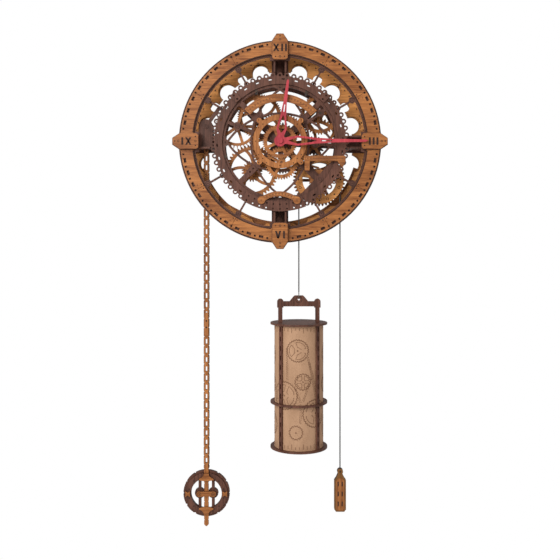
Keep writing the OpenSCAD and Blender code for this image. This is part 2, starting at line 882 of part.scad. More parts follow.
module third_wheel() {
    color(light_wood) sheet(level(4)) translate(third_p)
        wheel(third_n, third_module, third_turn, arbor_r + fixed_fit, 5, true);
}

module third_pinion() {
    color(dark_wood) sheet(level(3)) translate(third_p)
        pinion(third_pinion_n, centre_module, third_pinion_turn, arbor_r + fixed_fit);
}

module third_arbor() {
    color(steel) bar(third_p, back_bridge_at, chain_at - back_bridge_at, arbor_r);
}

module escape_wheel() {
    root = escape_r - escape_tooth;
    color(light_wood) sheet(level(5)) translate(escape_p) difference() {
        rotate(escape_turn) polygon([for (t = [0 : escape_n - 1]) each [
            polar(root, (t - 0.2) * escape_pitch), polar(escape_r, (t - 0.04) * escape_pitch),
            polar(escape_r, (t + 0.04) * escape_pitch), polar(root, (t + 0.2) * escape_pitch)
        ]]);
        windows(root - wheel_rim + 1, hub_r, 5, spoke_w);
        circle(arbor_r + fixed_fit);
    }
}

module escape_pinion() {
    color(dark_wood) sheet(level(4)) translate(escape_p)
        pinion(escape_pinion_n, third_module, escape_pinion_turn, arbor_r + fixed_fit);
}

module escape_arbor() {
    color(steel) bar(escape_p, back_bridge_at, chain_at - back_bridge_at, arbor_r);
}

// The anchor straddles the wheel; each arm ends in a nib that points at the wheel's centre
module pallet_anchor() {
    color(dark_wood) sheet(level(5)) difference() {
        union() {
            hole_at(anchor_p, 9);
            for (s = [-1, 1]) {
                foot = escape_p + polar(escape_r + pallet_gap + 6, 180 - s * 45);
                beam(anchor_p, foot, 6);
                hole_at(foot, 3);
                translate(escape_p) rotate(180 - s * 45) translate([escape_r + pallet_gap, -nib_w / 2])
                    square([7, nib_w]);
            }
        }
        hole_at(anchor_p, arbor_r + fixed_fit);
    }
}

module anchor_arbor() {
    color(steel) bar(anchor_p, level(0), level(6) + ply - level(0), arbor_r);
}

// Side view of the rod's links, from the pivot down: straight sides with a notch between two links
module rod_shape(w, long) {
    notch = 1.4;
    tip = 3;
    // as many links as fit above the bevelled tip
    count = floor((long - rod_top - notch - tip) / link_pitch);
    top = -rod_top;
    left = [for (i = [0 : count - 1]) each [
        [-w / 2, top - i * link_pitch - notch], [-w / 2, top - (i + 1) * link_pitch + notch],
        [notch - w / 2, top - (i + 1) * link_pitch]
    ]];
    right = [for (i = [len(left) - 1 : -1 : 0]) [-left[i][0], left[i][1]]];
    end = -long;
    polygon(concat(
        [[-w / 2, 0]], left, [[-w / 2, top - count * link_pitch - notch]],
        [[-w / 2, end + tip], [tip - w / 2, end], [w / 2 - tip, end], [w / 2, end + tip]],
        [[w / 2, top - count * link_pitch - notch]], right, [[w / 2, 0]]
    ));
}

module rod_slots(long) {
    count = floor((long - rod_top) / link_pitch);
    for (i = [0 : count - 1]) translate([0, -rod_top - (i + 0.5) * link_pitch])
        square([3, link_pitch * 0.53], center = true);
}

module pendulum_rod() {
    color(light_wood) sheet(rod_at + ply) translate(anchor_p) difference() {
        union() {
            rod_shape(rod_w - 2, rod_l);
            circle(8);
        }
        rod_slots(pendulum_l - bob_d / 2 - 6);
        circle(arbor_r + fixed_fit);
    }
}

module pendulum_rod_back() {
    back_l = pendulum_l - bob_d / 2 - 1;
    color(dark_wood) sheet(rod_at) translate(anchor_p) difference() {
        union() {
            rod_shape(rod_w, back_l);
            circle(9);
        }
        rod_slots(back_l - 6);
        circle(arbor_r + fixed_fit);
    }
}

// Notched ring in two sheets, with a narrower ring on its front, two bars and the ears beside them
module bob_ring() {
    inner = bob_d / 2 - bob_ring_w;
    bar_x = 11.5;
    ear_r = 8.8;
    color(dark_wood) {
        sheet(rod_at - ply, 2 * ply) translate(bob_p) {
            difference() {
                circle(bob_d / 2);
                circle(inner);
                for (i = [0 : 11]) rotate(i * 30) translate([bob_d / 2, 0]) circle(1.5);
            }
            for (x = [-bar_x, bar_x]) {
                intersection() {
                    translate([x - 2.4, -bob_d / 2 + 2]) square([4.8, bob_d - 4]);
                    circle(bob_d / 2 - 2);
                }
                translate([x, 0]) circle(ear_r);
            }
        }
        // the front ring is open where the rod runs through it
        sheet(rod_at + ply) translate(bob_p) difference() {
            ring(bob_d / 2 - 4, inner);
            square([rod_w + 1, bob_d], center = true);
        }
    }
}

// Light pieces on the bob's front: cross bar, a flared cap at each end, and a bow at each side
module bob_cross() {
    front = rod_at + 2 * ply;
    cap = bob_d / 2 - bob_ring_w;
    color(light_wood) sheet(front) translate(bob_p) {
        translate([-12, -4.3]) square([24, 8.6]);
        for (s = [-1, 1]) {
            translate([s * 12, 0]) circle(4.8);
            translate([s * (bob_d / 2 - 8), 0])
                polygon([[-4, -5], [0, -2.4], [4, -5], [4, 5], [0, 2.4], [-4, 5]]);
            scale([1, s]) polygon([
                [-4.2, cap + 9], [-5, cap + 5], [-8, cap + 2], [-12.5, cap], [-12.5, cap - 2.4],
                [-6, cap - 4], [6, cap - 4], [12.5, cap - 2.4], [12.5, cap], [8, cap + 2],
                [5, cap + 5], [4.2, cap + 9]
            ]);
        }
    }
}

module weight_tube() {
    color(card) translate([weight_x, -cord_at, -hanger_drop - weight_drop - ply - tube_h]) difference() {
        cylinder(h = tube_h, r = tube_d / 2);
        translate([0, 0, ply]) cylinder(h = tube_h, r = tube_d / 2 - tube_wall);
    }
}

// Iron discs that stand on the tube's floor
module weight_filling() {
    color(steel) translate([weight_x, -cord_at, -hanger_drop - weight_drop - tube_h])
        cylinder(h = filling_h, r = tube_d / 2 - tube_wall - 0.4);
}

module weight_frame() {
    top = -hanger_drop - weight_drop;
    mid = top - ply - tube_h * 0.37;
    low = top - 2 * ply - tube_h;
    post_x = 32;
    post_w = 7.5;
    head_w = 11;
    bar_h = 9;
    bar_drop = 13;
    color(dark_wood) translate([weight_x, -cord_at, 0]) {
        translate([0, 0, top - ply]) cylinder(h = ply, r = disc_d / 2);
        translate([0, 0, low]) cylinder(h = ply, r = disc_d / 2);
        translate([0, 0, mid - ply]) difference() {
            cylinder(h = ply, r = disc_d / 2);
            translate([0, 0, -1]) cylinder(h = ply + 2, r = strip_r);
            for (a = [45 : 90 : 315]) rotate(a) translate([strip_r - 1, -strip_w / 2 - 0.1, -1])
                cube([3.6, strip_w + 0.2, ply + 2]);
        }
        for (a = [45 : 90 : 315]) rotate(a) translate([strip_r, -strip_w / 2, low + ply]) difference() {
            cube([2.5, strip_w, tube_h]);
            for (i = [0 : 12]) translate([-1, strip_w / 2 - 1.3, 6 + i * tube_h / 13])
                cube([5, 2.6, tube_h / 26]);
        }
        // the bail: two posts with round heads, a cross bar and the raised plate that the ring hangs in
        translate([0, ply / 2, top]) rotate([90, 0, 0]) linear_extrude(ply) difference() {
            union() {
                for (x = [-post_x, post_x]) {
                    translate([x - post_w / 2, 0]) square([post_w, bail_h - bar_drop]);
                    translate([x - head_w / 2, bail_h - bar_drop - 2]) square([head_w, bar_h + 1]);
                    translate([x, bail_h - bar_drop + bar_h - 1]) circle(head_w / 2);
                }
                translate([-post_x, bail_h - bar_drop]) square([2 * post_x, bar_h]);
                polygon([
                    [-16, bail_h - bar_drop], [16, bail_h - bar_drop], [16, bail_h - bar_drop + bar_h],
                    [9.5, bail_h + 4], [7, bail_h + 6], [-7, bail_h + 6], [-9.5, bail_h + 4],
                    [-16, bail_h - bar_drop + bar_h]
                ]);
            }
            translate([0, bail_h - 1]) circle(bail_hole_r);
        }
    }
}

module weight_hook() {
    color(steel) translate([weight_x, -cord_at, -hanger_drop + hook_z]) rotate([0, 90, 0])
        rotate_extrude($fn = 48) translate([hook_r, 0]) circle(r = hook_wire_r, $fn = 16);
}

module weight_cord() {
    color(cord_grey) translate([weight_x, -cord_at, -hanger_drop + cord_end_z])
        cylinder(h = great_p[1] - cord_end_z, r = cord_d / 2);
}

module counterweight() {
    half = counter_w / 2;
    body_top = -counter_drop - 16;
    base = -counter_drop - counter_h;
    color(light_wood) sheet(cord_at - 1.5 * ply, 3 * ply) translate([counter_x, 0]) difference() {
        union() {
            translate([0, -counter_drop - 5]) circle(5);
            polygon([
                [-2.4, -counter_drop - 6], [-half + 3, body_top], [-half, body_top - 4],
                [-half, base + 4], [-half + 3, base], [half - 3, base], [half, base + 4],
                [half, body_top - 4], [half - 3, body_top], [2.4, -counter_drop - 6]
            ]);
        }
        translate([0, -counter_drop - 5]) circle(1.4);
        for (i = [0 : 2]) for (s = [-1, 1]) translate([s * 2.8, body_top - 10 - i * 17])
            square([1.8, 6.5], center = true);
    }
}

module counterweight_cord() {
    color(cord_grey) translate([counter_x, -cord_at, -hanger_drop - counter_drop])
        cylinder(h = great_p[1] + counter_drop, r = cord_d / 2);
}

wall_hanger();
wall_feet();
back_ring();
back_bridge();
ring_pillars();
quarter_struts();
hour_ribs();
rim_ring();
dial_ring();
plaque_backs();
hour_plaques();
front_bridge();
bridge_pillars();
chain_ring();
centre_ring();
bearing_blocks();
arch_plates();
side_plate();
pendulum_bracket();
cord_over_pulley();
bridge_fasteners();
upper_wheel();
lower_wheel();
great_wheel();
pulley();
ratchet_wheel();
click_plate();
great_arbor();
click();
intermediate_wheel();
intermediate_pinion();
intermediate_arbor();
idler_pinion();
centre_wheel();
centre_pinion();
centre_arbor();
cannon_pinion();
minute_hand();
third_wheel();
third_pinion();
third_arbor();
escape_wheel();
escape_pinion();
escape_arbor();
motion_wheel();
hour_wheel();
hour_hand();
pallet_anchor();
anchor_arbor();
pendulum_rod();
pendulum_rod_back();
bob_ring();
bob_cross();
weight_tube();
weight_filling();
weight_frame();
weight_hook();
weight_cord();
counterweight();
counterweight_cord();
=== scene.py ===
"""Plywood wall clock: finishes, numerals, scorch marks, cords and stage around the CAD frame."""

import math

import bmesh
import bpy
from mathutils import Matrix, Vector


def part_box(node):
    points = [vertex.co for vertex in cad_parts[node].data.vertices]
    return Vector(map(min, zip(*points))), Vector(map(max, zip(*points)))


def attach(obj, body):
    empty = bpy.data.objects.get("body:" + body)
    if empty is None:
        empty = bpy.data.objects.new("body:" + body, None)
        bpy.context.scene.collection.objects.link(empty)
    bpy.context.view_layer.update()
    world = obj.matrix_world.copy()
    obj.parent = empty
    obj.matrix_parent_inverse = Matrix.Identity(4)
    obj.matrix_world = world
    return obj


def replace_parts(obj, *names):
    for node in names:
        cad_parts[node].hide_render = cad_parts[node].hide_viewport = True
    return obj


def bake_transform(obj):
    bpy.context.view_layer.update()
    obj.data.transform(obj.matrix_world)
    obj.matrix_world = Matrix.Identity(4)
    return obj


bl_info = {
    "name": "Plywood Wall Clock",
    "version": (1, 0, 0),
    "blender": (4, 5, 0),
    "location": "3D View > Sidebar > Clock",
    "description": "Dresses the plywood wall clock with its finishes, numerals, marks and cords",
    "category": "Object",
}

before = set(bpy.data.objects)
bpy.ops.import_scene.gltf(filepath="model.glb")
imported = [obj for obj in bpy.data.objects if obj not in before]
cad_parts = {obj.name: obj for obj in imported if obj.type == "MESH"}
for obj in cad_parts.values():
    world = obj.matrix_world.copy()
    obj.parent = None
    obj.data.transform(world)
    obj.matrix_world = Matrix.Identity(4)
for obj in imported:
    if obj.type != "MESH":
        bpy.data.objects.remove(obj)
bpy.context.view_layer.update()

MM = 0.001
# The dial's centre as [x, z], below the hanger hole
DIAL = (0, -152 * MM)


def linear(code):
    """Linear colour of an sRGB hex value such as "B9783C"."""
    parts = [int(code[i : i + 2], 16) / 255 for i in (0, 2, 4)]
    return [p / 12.92 if p <= 0.04045 else ((p + 0.055) / 1.055) ** 2.4 for p in parts]


def colour(name, code, description):
    return bpy.props.FloatVectorProperty(
        name=name, description=description, subtype="COLOR", default=linear(code), min=0, max=1
    )


def length(name, millimetres, description):
    return bpy.props.FloatProperty(
        name=name, description=description, unit="LENGTH", default=millimetres * MM, min=0
    )


class ClockFinishes(bpy.types.PropertyGroup):
    """Colours of the clock's woods, paint, card, cord and metal."""

    golden_face: colour("Golden plywood", "B8763F", "Oiled face of the light sheets")
    golden_streak: colour("Golden streak", "74401B", "Darker fibres in the light sheets")
    stained_face: colour("Stained plywood", "6E4637", "Stained face of the dark sheets")
    stained_streak: colour("Stained streak", "42261B", "Darker fibres in the dark sheets")
    # painted light: these two colours are the golden sheet brightened to lift the shade that the
    # frame in front casts on the pulley and the rear ring
    shade_lifted_face: colour("Plywood brightened against shade", "E79F58", "Face of the pulley and of the rear ring")
    shade_lifted_streak: colour("Streak brightened against shade", "B0703A", "Darker fibres in the brightened sheets")
    scorch: colour("Scorched edge", "3A2015", "Edge that the laser has cut")
    red_paint: colour("Red paint", "CA4850", "Paint on the hands")
    red_streak: colour("Red streak", "962B36", "Fibres that show through the paint")
    kraft: colour("Kraft card", "BB9373", "Card of the weight's tube")
    kraft_speck: colour("Kraft specks", "A07A5C", "Specks in the card")
    line_work: colour("Line work", "4E2C1B", "Lines printed on the card")
    counterweight_face: colour("Counterweight plywood", "8E6130", "Face of the counterweight")
    counterweight_streak: colour("Counterweight streak", "69431C", "Darker fibres in it")
    cord: colour("Cord", "4B4845", "Braided cord")
    steel: colour("Steel", "8C857C", "Oiled steel of arbors, studs and hook")
    browned: colour("Browned steel", "54473F", "Studs and screw heads of the bridges")
    iron: colour("Iron", "5C5A58", "Discs in the weight")


class ClockSizes(bpy.types.PropertyGroup):
    """Sizes of the details that are added to the sheets."""

    fibre: length("Fibre width", 0.9, "Width of one wood fibre, drawn coarse enough to show")
    ray: length("Pore line", 2.4, "Width of the coarser lines of pores in the veneer")
    band: length("Growth band", 9, "Width of a growth band in the veneer")
    flame: length("Flame", 38, "Width of the broad lighter and darker areas of the veneer")
    scorch_width: length("Scorch width", 0.4, "How far the scorched edge reaches onto the face")
    numeral_height: length("Numeral height", 12.6, "Height of an hour numeral")
    numeral_stroke: length("Numeral stroke", 3.3, "Width of a numeral's stroke")
    numeral_radius: length("Numeral radius", 157.5, "Distance of a numeral from the dial's centre")
    trim_inner: length("Trim ring", 144.2, "Inner radius of the dark ring between its bosses")
    weight_ring_height: length("Weight ring", 77, "Height of the middle ring above the tube's foot")
    mark_depth: length("Mark thickness", 0.12, "Thickness of a scorched mark")
    dot_radius: length("Dot radius", 0.9, "Radius of a scorched dot")
    line_width: length("Line width", 0.9, "Width of a line on the card")
    cord_radius: length("Cord radius", 1.15, "Half the thickness of the braided cord")
    braid_pitch: length("Braid pitch", 3.2, "Length of one turn of the cord's strands")


class ClockStage(bpy.types.PropertyGroup):
    """Camera and light."""

    camera_distance: length("Camera distance", 1288, "Distance of the camera from the dial ring")
    camera_height: length("Camera height", -318.5, "Height of the camera against the hanger hole")
    lens: bpy.props.FloatProperty(
        name="Lens", description="Focal length in millimetres", default=49, min=1
    )
    camera_drop: bpy.props.FloatProperty(
        name="Camera shift", description="Vertical shift of the level camera", default=-0.0714
    )
    key_power: bpy.props.FloatProperty(
        name="Key light", description="Power of the large soft lamp in watts", default=42, min=0
    )
    fill_power: bpy.props.FloatProperty(
        name="Fill light", description="Power of the lamp from the right in watts", default=5, min=0
    )
    sky: bpy.props.FloatProperty(
        name="Sky", description="Strength of the even light from all sides", default=0.46, min=0
    )


def finishes():
    return bpy.context.scene.clock_finishes


def sizes():
    return bpy.context.scene.clock_sizes


def opaque(value):
    return [*value, 1]


def add(tree, kind, inputs=None, **settings):
    """Adds one node with its settings; inputs maps a socket to a value or a node's output."""
    node = tree.nodes.new(kind)
    for name, value in settings.items():
        setattr(node, name, value)
    for key, value in (inputs or {}).items():
        if isinstance(value, bpy.types.NodeSocket):
            tree.links.new(value, node.inputs[key])
        else:
            node.inputs[key].default_value = value
    return node


def blank(name):
    """A new material and its empty node tree."""
    material = bpy.data.materials.new(name)
    material.use_nodes = True
    material.node_tree.nodes.clear()
    return material, material.node_tree


def fibres(tree, width, along, stretch):
    """Noise drawn out along one axis: width is across the fibre, stretch its length in widths."""
    place = add(tree, "ShaderNodeTexCoord").outputs["Object"]
    across = 1 / width
    scale = [across / stretch if axis == along else across for axis in "XYZ"]
    drawn = add(tree, "ShaderNodeMapping", {"Vector": place, "Scale": scale}).outputs[0]
    return add(
        tree, "ShaderNodeTexNoise", {"Vector": drawn, "Scale": 1.0, "Detail": 3.0, "Roughness": 0.6}
    ).outputs["Fac"]


def plywood(name, face, streak, along="Z", edges=True, gloss=0.5):
    """Laser-cut basswood plywood, oiled or stained: fine fibres and soft growth bands on the faces,
    and edges that the laser has scorched nearly black, with a brown halo beside them."""
    found = bpy.data.materials.get(name)
    if found:
        return found
    material, tree = blank(name)
    fine = fibres(tree, sizes().fibre, along, 22)
    layers = (
        (fine, 0.3),
        (fibres(tree, sizes().ray, along, 14), 0.4),
        (fibres(tree, sizes().band, along, 7), 0.3),
        (fibres(tree, sizes().flame, along, 2), 0.25),
    )
    amount = 0.0
    for layer, weight in layers:
        amount = add(
            tree, "ShaderNodeMath", {0: layer, 1: weight, 2: amount}, operation="MULTIPLY_ADD"
        ).outputs[0]
    share = add(
        tree, "ShaderNodeMapRange", {"Value": amount, "From Min": 0.51, "From Max": 0.74}
    ).outputs[0]
    wood = add(
        tree,
        "ShaderNodeMix",
        {"Factor": share, "A": opaque(face), "B": opaque(streak)},
        data_type="RGBA",
    ).outputs["Result"]
    if edges:
        normal = add(tree, "ShaderNodeNewGeometry").outputs["True Normal"]
        facing = add(
            tree,
            "ShaderNodeMath",
            {0: add(tree, "ShaderNodeSeparateXYZ", {0: normal}).outputs["Y"]},
            operation="ABSOLUTE",
        ).outputs[0]
        round_normal = add(
            tree, "ShaderNodeBevel", {"Radius": sizes().scorch_width}, samples=6
        ).outputs[0]
        turned = add(
            tree,
            "ShaderNodeVectorMath",
            {0: round_normal, 1: normal},
            operation="DOT_PRODUCT",
        ).outputs["Value"]
        halo = add(
            tree,
            "ShaderNodeMapRange",
            {"Value": turned, "From Min": 0.995, "From Max": 0.8, "To Min": 0.0, "To Max": 0.7},
        ).outputs[0]
        cut = add(
            tree,
            "ShaderNodeMapRange",
            {"Value": facing, "From Min": 0.75, "From Max": 0.6, "To Min": 0.0, "To Max": 0.86},
        ).outputs[0]
        burnt = add(tree, "ShaderNodeMath", {0: halo, 1: cut}, operation="MAXIMUM").outputs[0]
        wood = add(
            tree,
            "ShaderNodeMix",
            {"Factor": burnt, "A": wood, "B": opaque(finishes().scorch)},
            data_type="RGBA",
        ).outputs["Result"]
    relief = add(
        tree, "ShaderNodeBump", {"Height": fine, "Strength": 0.35, "Distance": 0.08 * MM}
    ).outputs[0]
    skin = {"Roughness": gloss, "IOR": 1.5, "Specular IOR Level": 0.3}
    shader = add(
        tree, "ShaderNodeBsdfPrincipled", {"Base Color": wood, "Normal": relief, **skin}
    )
    add(tree, "ShaderNodeOutputMaterial", {"Surface": shader.outputs[0]})
    return material


def golden(along="Z"):
    """Light basswood sheet, oiled: honey brown and satin, its grain along one axis."""
    tones = finishes().golden_face, finishes().golden_streak
    return plywood(f"golden basswood plywood {along}", *tones, along)


def stained(along="Z"):
    """The same sheet stained a deep red brown, through which the grain shows faintly."""
    tones = finishes().stained_face, finishes().stained_streak
    return plywood(f"stained basswood plywood {along}", *tones, along)


def stained_on_edge():
    """The stained sheet where it stands on edge or lies flat, so that no way is its cut side."""
    tones = finishes().stained_face, finishes().stained_streak
    return plywood("stained basswood plywood on edge", *tones, edges=False)


def shade_lifted_wood():
    """Golden plywood with painted light: a light yellow brown, brightened to lift the shade that
    the frame in front casts on it.
    """
    return plywood("basswood plywood brightened against shade", finishes().shade_lifted_face, finishes().shade_lifted_streak, "X")


def counterweight_wood():
    """Plywood with a darker oil: an olive brown, duller than the frame's light sheets."""
    return plywood(
        "dark oiled plywood", finishes().counterweight_face, finishes().counterweight_streak, "Z"
    )


def red_paint():
    """Thin red paint on plywood: satin, and the fibres still show through it."""
    tones = finishes().red_paint, finishes().red_streak
    return plywood("red painted plywood", *tones, gloss=0.42, edges=False)


def scorched(name="laser-scorched basswood", deep="22120C", shallow="3A2015"):
    """Wood that the laser has engraved: matt, nearly black charcoal with brown showing through."""
    found = bpy.data.materials.get(name)
    if found:
        return found
    material, tree = blank(name)
    # specks of char, which are finer on the wood, drawn coarse enough to show
    patches = fibres(tree, 0.6 * MM, "Z", 3)
    wood = add(
        tree,
        "ShaderNodeMix",
        {"Factor": patches, "A": opaque(linear(deep)), "B": opaque(linear(shallow))},
        data_type="RGBA",
    ).outputs["Result"]
    shader = add(tree, "ShaderNodeBsdfPrincipled", {"Base Color": wood, "Roughness": 0.85})
    add(tree, "ShaderNodeOutputMaterial", {"Surface": shader.outputs[0]})
    return material


def lightly_scorched():
    """Shallow engraving: the laser has only browned the wood, close to its own colour."""
    return scorched("lightly scorched basswood", "6B3F22", "8A5833")


def kraft_card():
    """Kraft card: matt, with fine specks of fibre and a faint cloudiness."""
    material, tree = blank("kraft card")
    # the specks are drawn coarse enough to show, and the clouds as wide as the card's
    specks = fibres(tree, 0.8 * MM, "X", 3)
    clouds = fibres(tree, 22 * MM, "Z", 2)
    amount = add(tree, "ShaderNodeMath", {0: specks, 1: clouds}, operation="MULTIPLY").outputs[0]
    share = add(
        tree, "ShaderNodeMapRange", {"Value": amount, "From Min": 0.15, "From Max": 0.42}
    ).outputs[0]
    card = add(
        tree,
        "ShaderNodeMix",
        {"Factor": share, "A": opaque(finishes().kraft), "B": opaque(finishes().kraft_speck)},
        data_type="RGBA",
    ).outputs["Result"]
    shader = add(tree, "ShaderNodeBsdfPrincipled", {"Base Color": card, "Roughness": 0.8})
    add(tree, "ShaderNodeOutputMaterial", {"Surface": shader.outputs[0]})
    return material


def line_ink():
    """Brown ink on card: matt, a little uneven."""
    material, tree = blank("brown ink on card")
    # thin and full places in a line as wide as a pen's
    patches = fibres(tree, 1.2 * MM, "Z", 2)
    ink = add(
        tree,
        "ShaderNodeMix",
        {"Factor": patches, "A": opaque(finishes().line_work), "B": opaque(linear("7E5738"))},
        data_type="RGBA",
    ).outputs["Result"]
    shader = add(tree, "ShaderNodeBsdfPrincipled", {"Base Color": ink, "Roughness": 0.85})
    add(tree, "ShaderNodeOutputMaterial", {"Surface": shader.outputs[0]})
    return material


def metal(name, tone, roughness, grain):
    """Bare metal: drawn rod shows fine lines along it, a cast disc a coarser mottle. Grain is the
    width of one line, drawn coarse enough to show."""
    found = bpy.data.materials.get(name)
    if found:
        return found
    material, tree = blank(name)
    lines = fibres(tree, grain, "Y", 12)
    rough = add(
        tree,
        "ShaderNodeMapRange",
        {"Value": lines, "To Min": roughness - 0.08, "To Max": roughness + 0.1},
    ).outputs[0]
    shade = add(
        tree,
        "ShaderNodeMix",
        {"Factor": lines, "A": opaque(tone), "B": opaque([0.75 * part for part in tone])},
        data_type="RGBA",
    ).outputs["Result"]
    shader = add(
        tree,
        "ShaderNodeBsdfPrincipled",
        {"Base Color": shade, "Metallic": 1.0, "Roughness": rough},
    )
    add(tree, "ShaderNodeOutputMaterial", {"Surface": shader.outputs[0]})
    return material


def drawn_steel():
    """Drawn rod, oiled: a warm grey shine in fine lines along it."""
    return metal("drawn steel", finishes().steel, 0.38, 0.4 * MM)


def browned_steel():
    """Studs and screws browned by heat: a dark brown with a dull shine."""
    return metal("browned steel", finishes().browned, 0.5, 0.4 * MM)


def cast_iron():
    """Discs as cast: dark grey, mottled and nearly matt."""
    return metal("cast iron", finishes().iron, 0.6, 1.5 * MM)


def braided_cord():
    """Braided polyester cord: matt, each strand a little lighter along its crown."""
    material, tree = blank("braided polyester cord")
    # yarns of the braid, drawn about twice as wide as they are so that they show
    strands = fibres(tree, 0.5 * MM, "Z", 4)
    shade = add(
        tree,
        "ShaderNodeMix",
        {"Factor": strands, "A": opaque(finishes().cord), "B": opaque(linear("35332F"))},
        data_type="RGBA",
    ).outputs["Result"]
    shader = add(
        tree,
        "ShaderNodeBsdfPrincipled",
        {"Base Color": shade, "Roughness": 0.75, "Sheen Weight": 0.2},
    )
    add(tree, "ShaderNodeOutputMaterial", {"Surface": shader.outputs[0]})
    return material


def dress(material, *names):
    """Gives the material to carried-over CAD nodes."""
    for name in names:
        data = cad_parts[name].data
        data.materials.clear()
        data.materials.append(material)


def new_piece(name, mesh, material):
    """Links a mesh as a piece that takes its finish from a slot of the record."""
    mesh.materials.append(material)
    piece = bpy.data.objects.new(name, mesh)
    bpy.context.scene.collection.objects.link(piece)
    return piece


def face_of(node):
    """The y of a node's foremost face."""
    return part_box(node)[0].y


def middle_of(node):
    low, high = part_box(node)
    return (low + high) / 2


def sheet(name, outlines, front, back):
    """Mesh of flat sheets between two values of y: outlines are closed rows of [x, z] in metres."""
    mesh = bpy.data.meshes.new(name)
    bm = bmesh.new()
    for outline in outlines:
        ends = [[bm.verts.new((x, y, z)) for x, z in outline] for y in (front, back)]
        bm.faces.new(ends[0])
        bm.faces.new(ends[1][::-1])
        for i, vert in enumerate(ends[0]):
            after = (i + 1) % len(outline)
            bm.faces.new((vert, ends[1][i], ends[1][after], ends[0][after]))
    bmesh.ops.recalc_face_normals(bm, faces=bm.faces)
    bm.to_mesh(mesh)
    bm.free()
    return mesh


def flat_marks(name, outlines, surface_y, body, material, depth=None):
    """Thin marks on a sheet's front, on the face at surface_y."""
    mesh = sheet(name, outlines, surface_y - (depth or sizes().mark_depth), surface_y)
    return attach(new_piece(name, mesh, material), body)


def scorch_marks(name, outlines, surface_y, body="frame"):
    return flat_marks(name, outlines, surface_y, body, scorched())


def around(centre, radius, degrees):
    """Point [x, z] at a distance and direction from a centre."""
    turn = math.radians(degrees)
    return [centre[0] + radius * math.cos(turn), centre[1] + radius * math.sin(turn)]


def on_dial(radius, degrees):
    return around(DIAL, radius, degrees)


def disc(centre, radius, sides=16):
    return [around(centre, radius, 360 * i / sides) for i in range(sides)]


def block(centre, inner, outer, low, high):
    """Outline of a short piece of a ring, between two radii and two directions in degrees."""
    corners = ((inner, low), (outer, low), (outer, high), (inner, high))
    return [around(centre, r, t) for r, t in corners]


def arc_line(centre, radius, width, low, high, step=3):
    """Outlines of the short pieces that make an arc between two directions in degrees."""
    count = max(1, round(abs(high - low) / step))
    turns = [low + (high - low) * i / count for i in range(count + 1)]
    inner, outer = radius - width / 2, radius + width / 2
    return [block(centre, inner, outer, a, b) for a, b in zip(turns, turns[1:])]


def hoop(centre, radius, width, sides=14):
    """Outlines of the short pieces that make a thin ring."""
    return arc_line(centre, radius, width, 0, 360, 360 / sides)


def ringed_dot(centre, ring=2.9 * MM, dot=1 * MM):
    """Outlines of a thin engraved ring and of the dot in its middle."""
    return [*hoop(centre, ring, 0.7 * MM), disc(centre, dot)]


def lozenge(centre, long, wide, degrees):
    """Outline of a lozenge whose long way lies at an angle."""
    reaches = (long / 2, wide / 2, long / 2, wide / 2)
    return [around(centre, reach, degrees + 90 * i) for i, reach in enumerate(reaches)]


def slot_border(radius, degrees, deep, long, border):
    """Scorched border round a slot in the dial: deep is along the radius, long across it."""
    rings = []
    for grow in (0, border):
        a, b = deep / 2 + grow, long / 2 + grow
        rings.append(
            [
                around(on_dial(radius + out, degrees), side, degrees + 90)
                for out, side in ((-a, -b), (a, -b), (a, b), (-a, b))
            ]
        )
    inner, outer = rings
    return [[outer[i], outer[i - 1], inner[i - 1], inner[i]] for i in range(4)]


def stroke(a, b, width):
    """Outline of a straight stroke with square ends."""
    along = Vector((b[0] - a[0], b[1] - a[1])).normalized() * width / 2
    side = Vector((-along.y, along.x))
    return [
        [a[0] + side.x, a[1] + side.y],
        [b[0] + side.x, b[1] + side.y],
        [b[0] - side.x, b[1] - side.y],
        [a[0] - side.x, a[1] - side.y],
    ]


def upright(x, foot, top, half):
    return [[x - half, foot], [x + half, foot], [x + half, top], [x - half, top]]


def slanted(foot_x, top_x, foot, top, half):
    return [[foot_x - half, foot], [foot_x + half, foot], [top_x + half, top], [top_x - half, top]]


def numeral(letters, centre):
    """Strokes of an upright Roman numeral round its centre."""
    height, width = sizes().numeral_height, sizes().numeral_stroke
    half, gap = width / 2, width * 0.95
    spans = {"I": width, "V": height * 0.82, "X": height * 0.84}
    total = sum(spans[c] for c in letters) + gap * (len(letters) - 1)
    x, foot, top = centre[0] - total / 2, centre[1] - height / 2, centre[1] + height / 2
    strokes = []
    for c in letters:
        left, right = x + half, x + spans[c] - half
        if c == "I":
            strokes.append(upright(left, foot, top, half))
        if c == "V":
            middle = (left + right) / 2
            strokes += [slanted(middle, end, foot, top, half) for end in (left, right)]
        if c == "X":
            ends = ((left, right), (right, left))
            strokes += [slanted(a, b, foot, top, half) for a, b in ends]
        x += spans[c] + gap
    return strokes


class CLOCK_OT_dial(bpy.types.Operator):
    """Finishes the dial ring, the plaques and the rear ring."""

    bl_idname = "clock.dial"
    bl_label = "Dial"

    def execute(self, context):
        dress(golden("X"), "dial_ring", "hour_plaques")
        # painted light: the rear ring's wood is brightened against the shade that the dial and
        # frame cast on it
        dress(shade_lifted_wood(), "back_ring")
        dress(stained("X"), "plaque_backs")
        return {"FINISHED"}


class CLOCK_OT_frame(bpy.types.Operator):
    """Finishes the bridges, ribs, struts, plates, hanger and feet."""

    bl_idname = "clock.frame"
    bl_label = "Frame"

    def execute(self, context):
        dress(stained("Z"), "back_bridge", "front_bridge", "chain_ring", "bearing_blocks")
        dress(stained_on_edge(), "wall_feet", "ring_pillars", "quarter_struts", "hour_ribs")
        dress(stained_on_edge(), "pendulum_bracket")
        dress(golden("Z"), "wall_hanger", "centre_ring")
        dress(golden("X"), "arch_plates", "side_plate")
        dress(golden("Y"), "bridge_pillars")
        dress(browned_steel(), "bridge_fasteners")
        return {"FINISHED"}


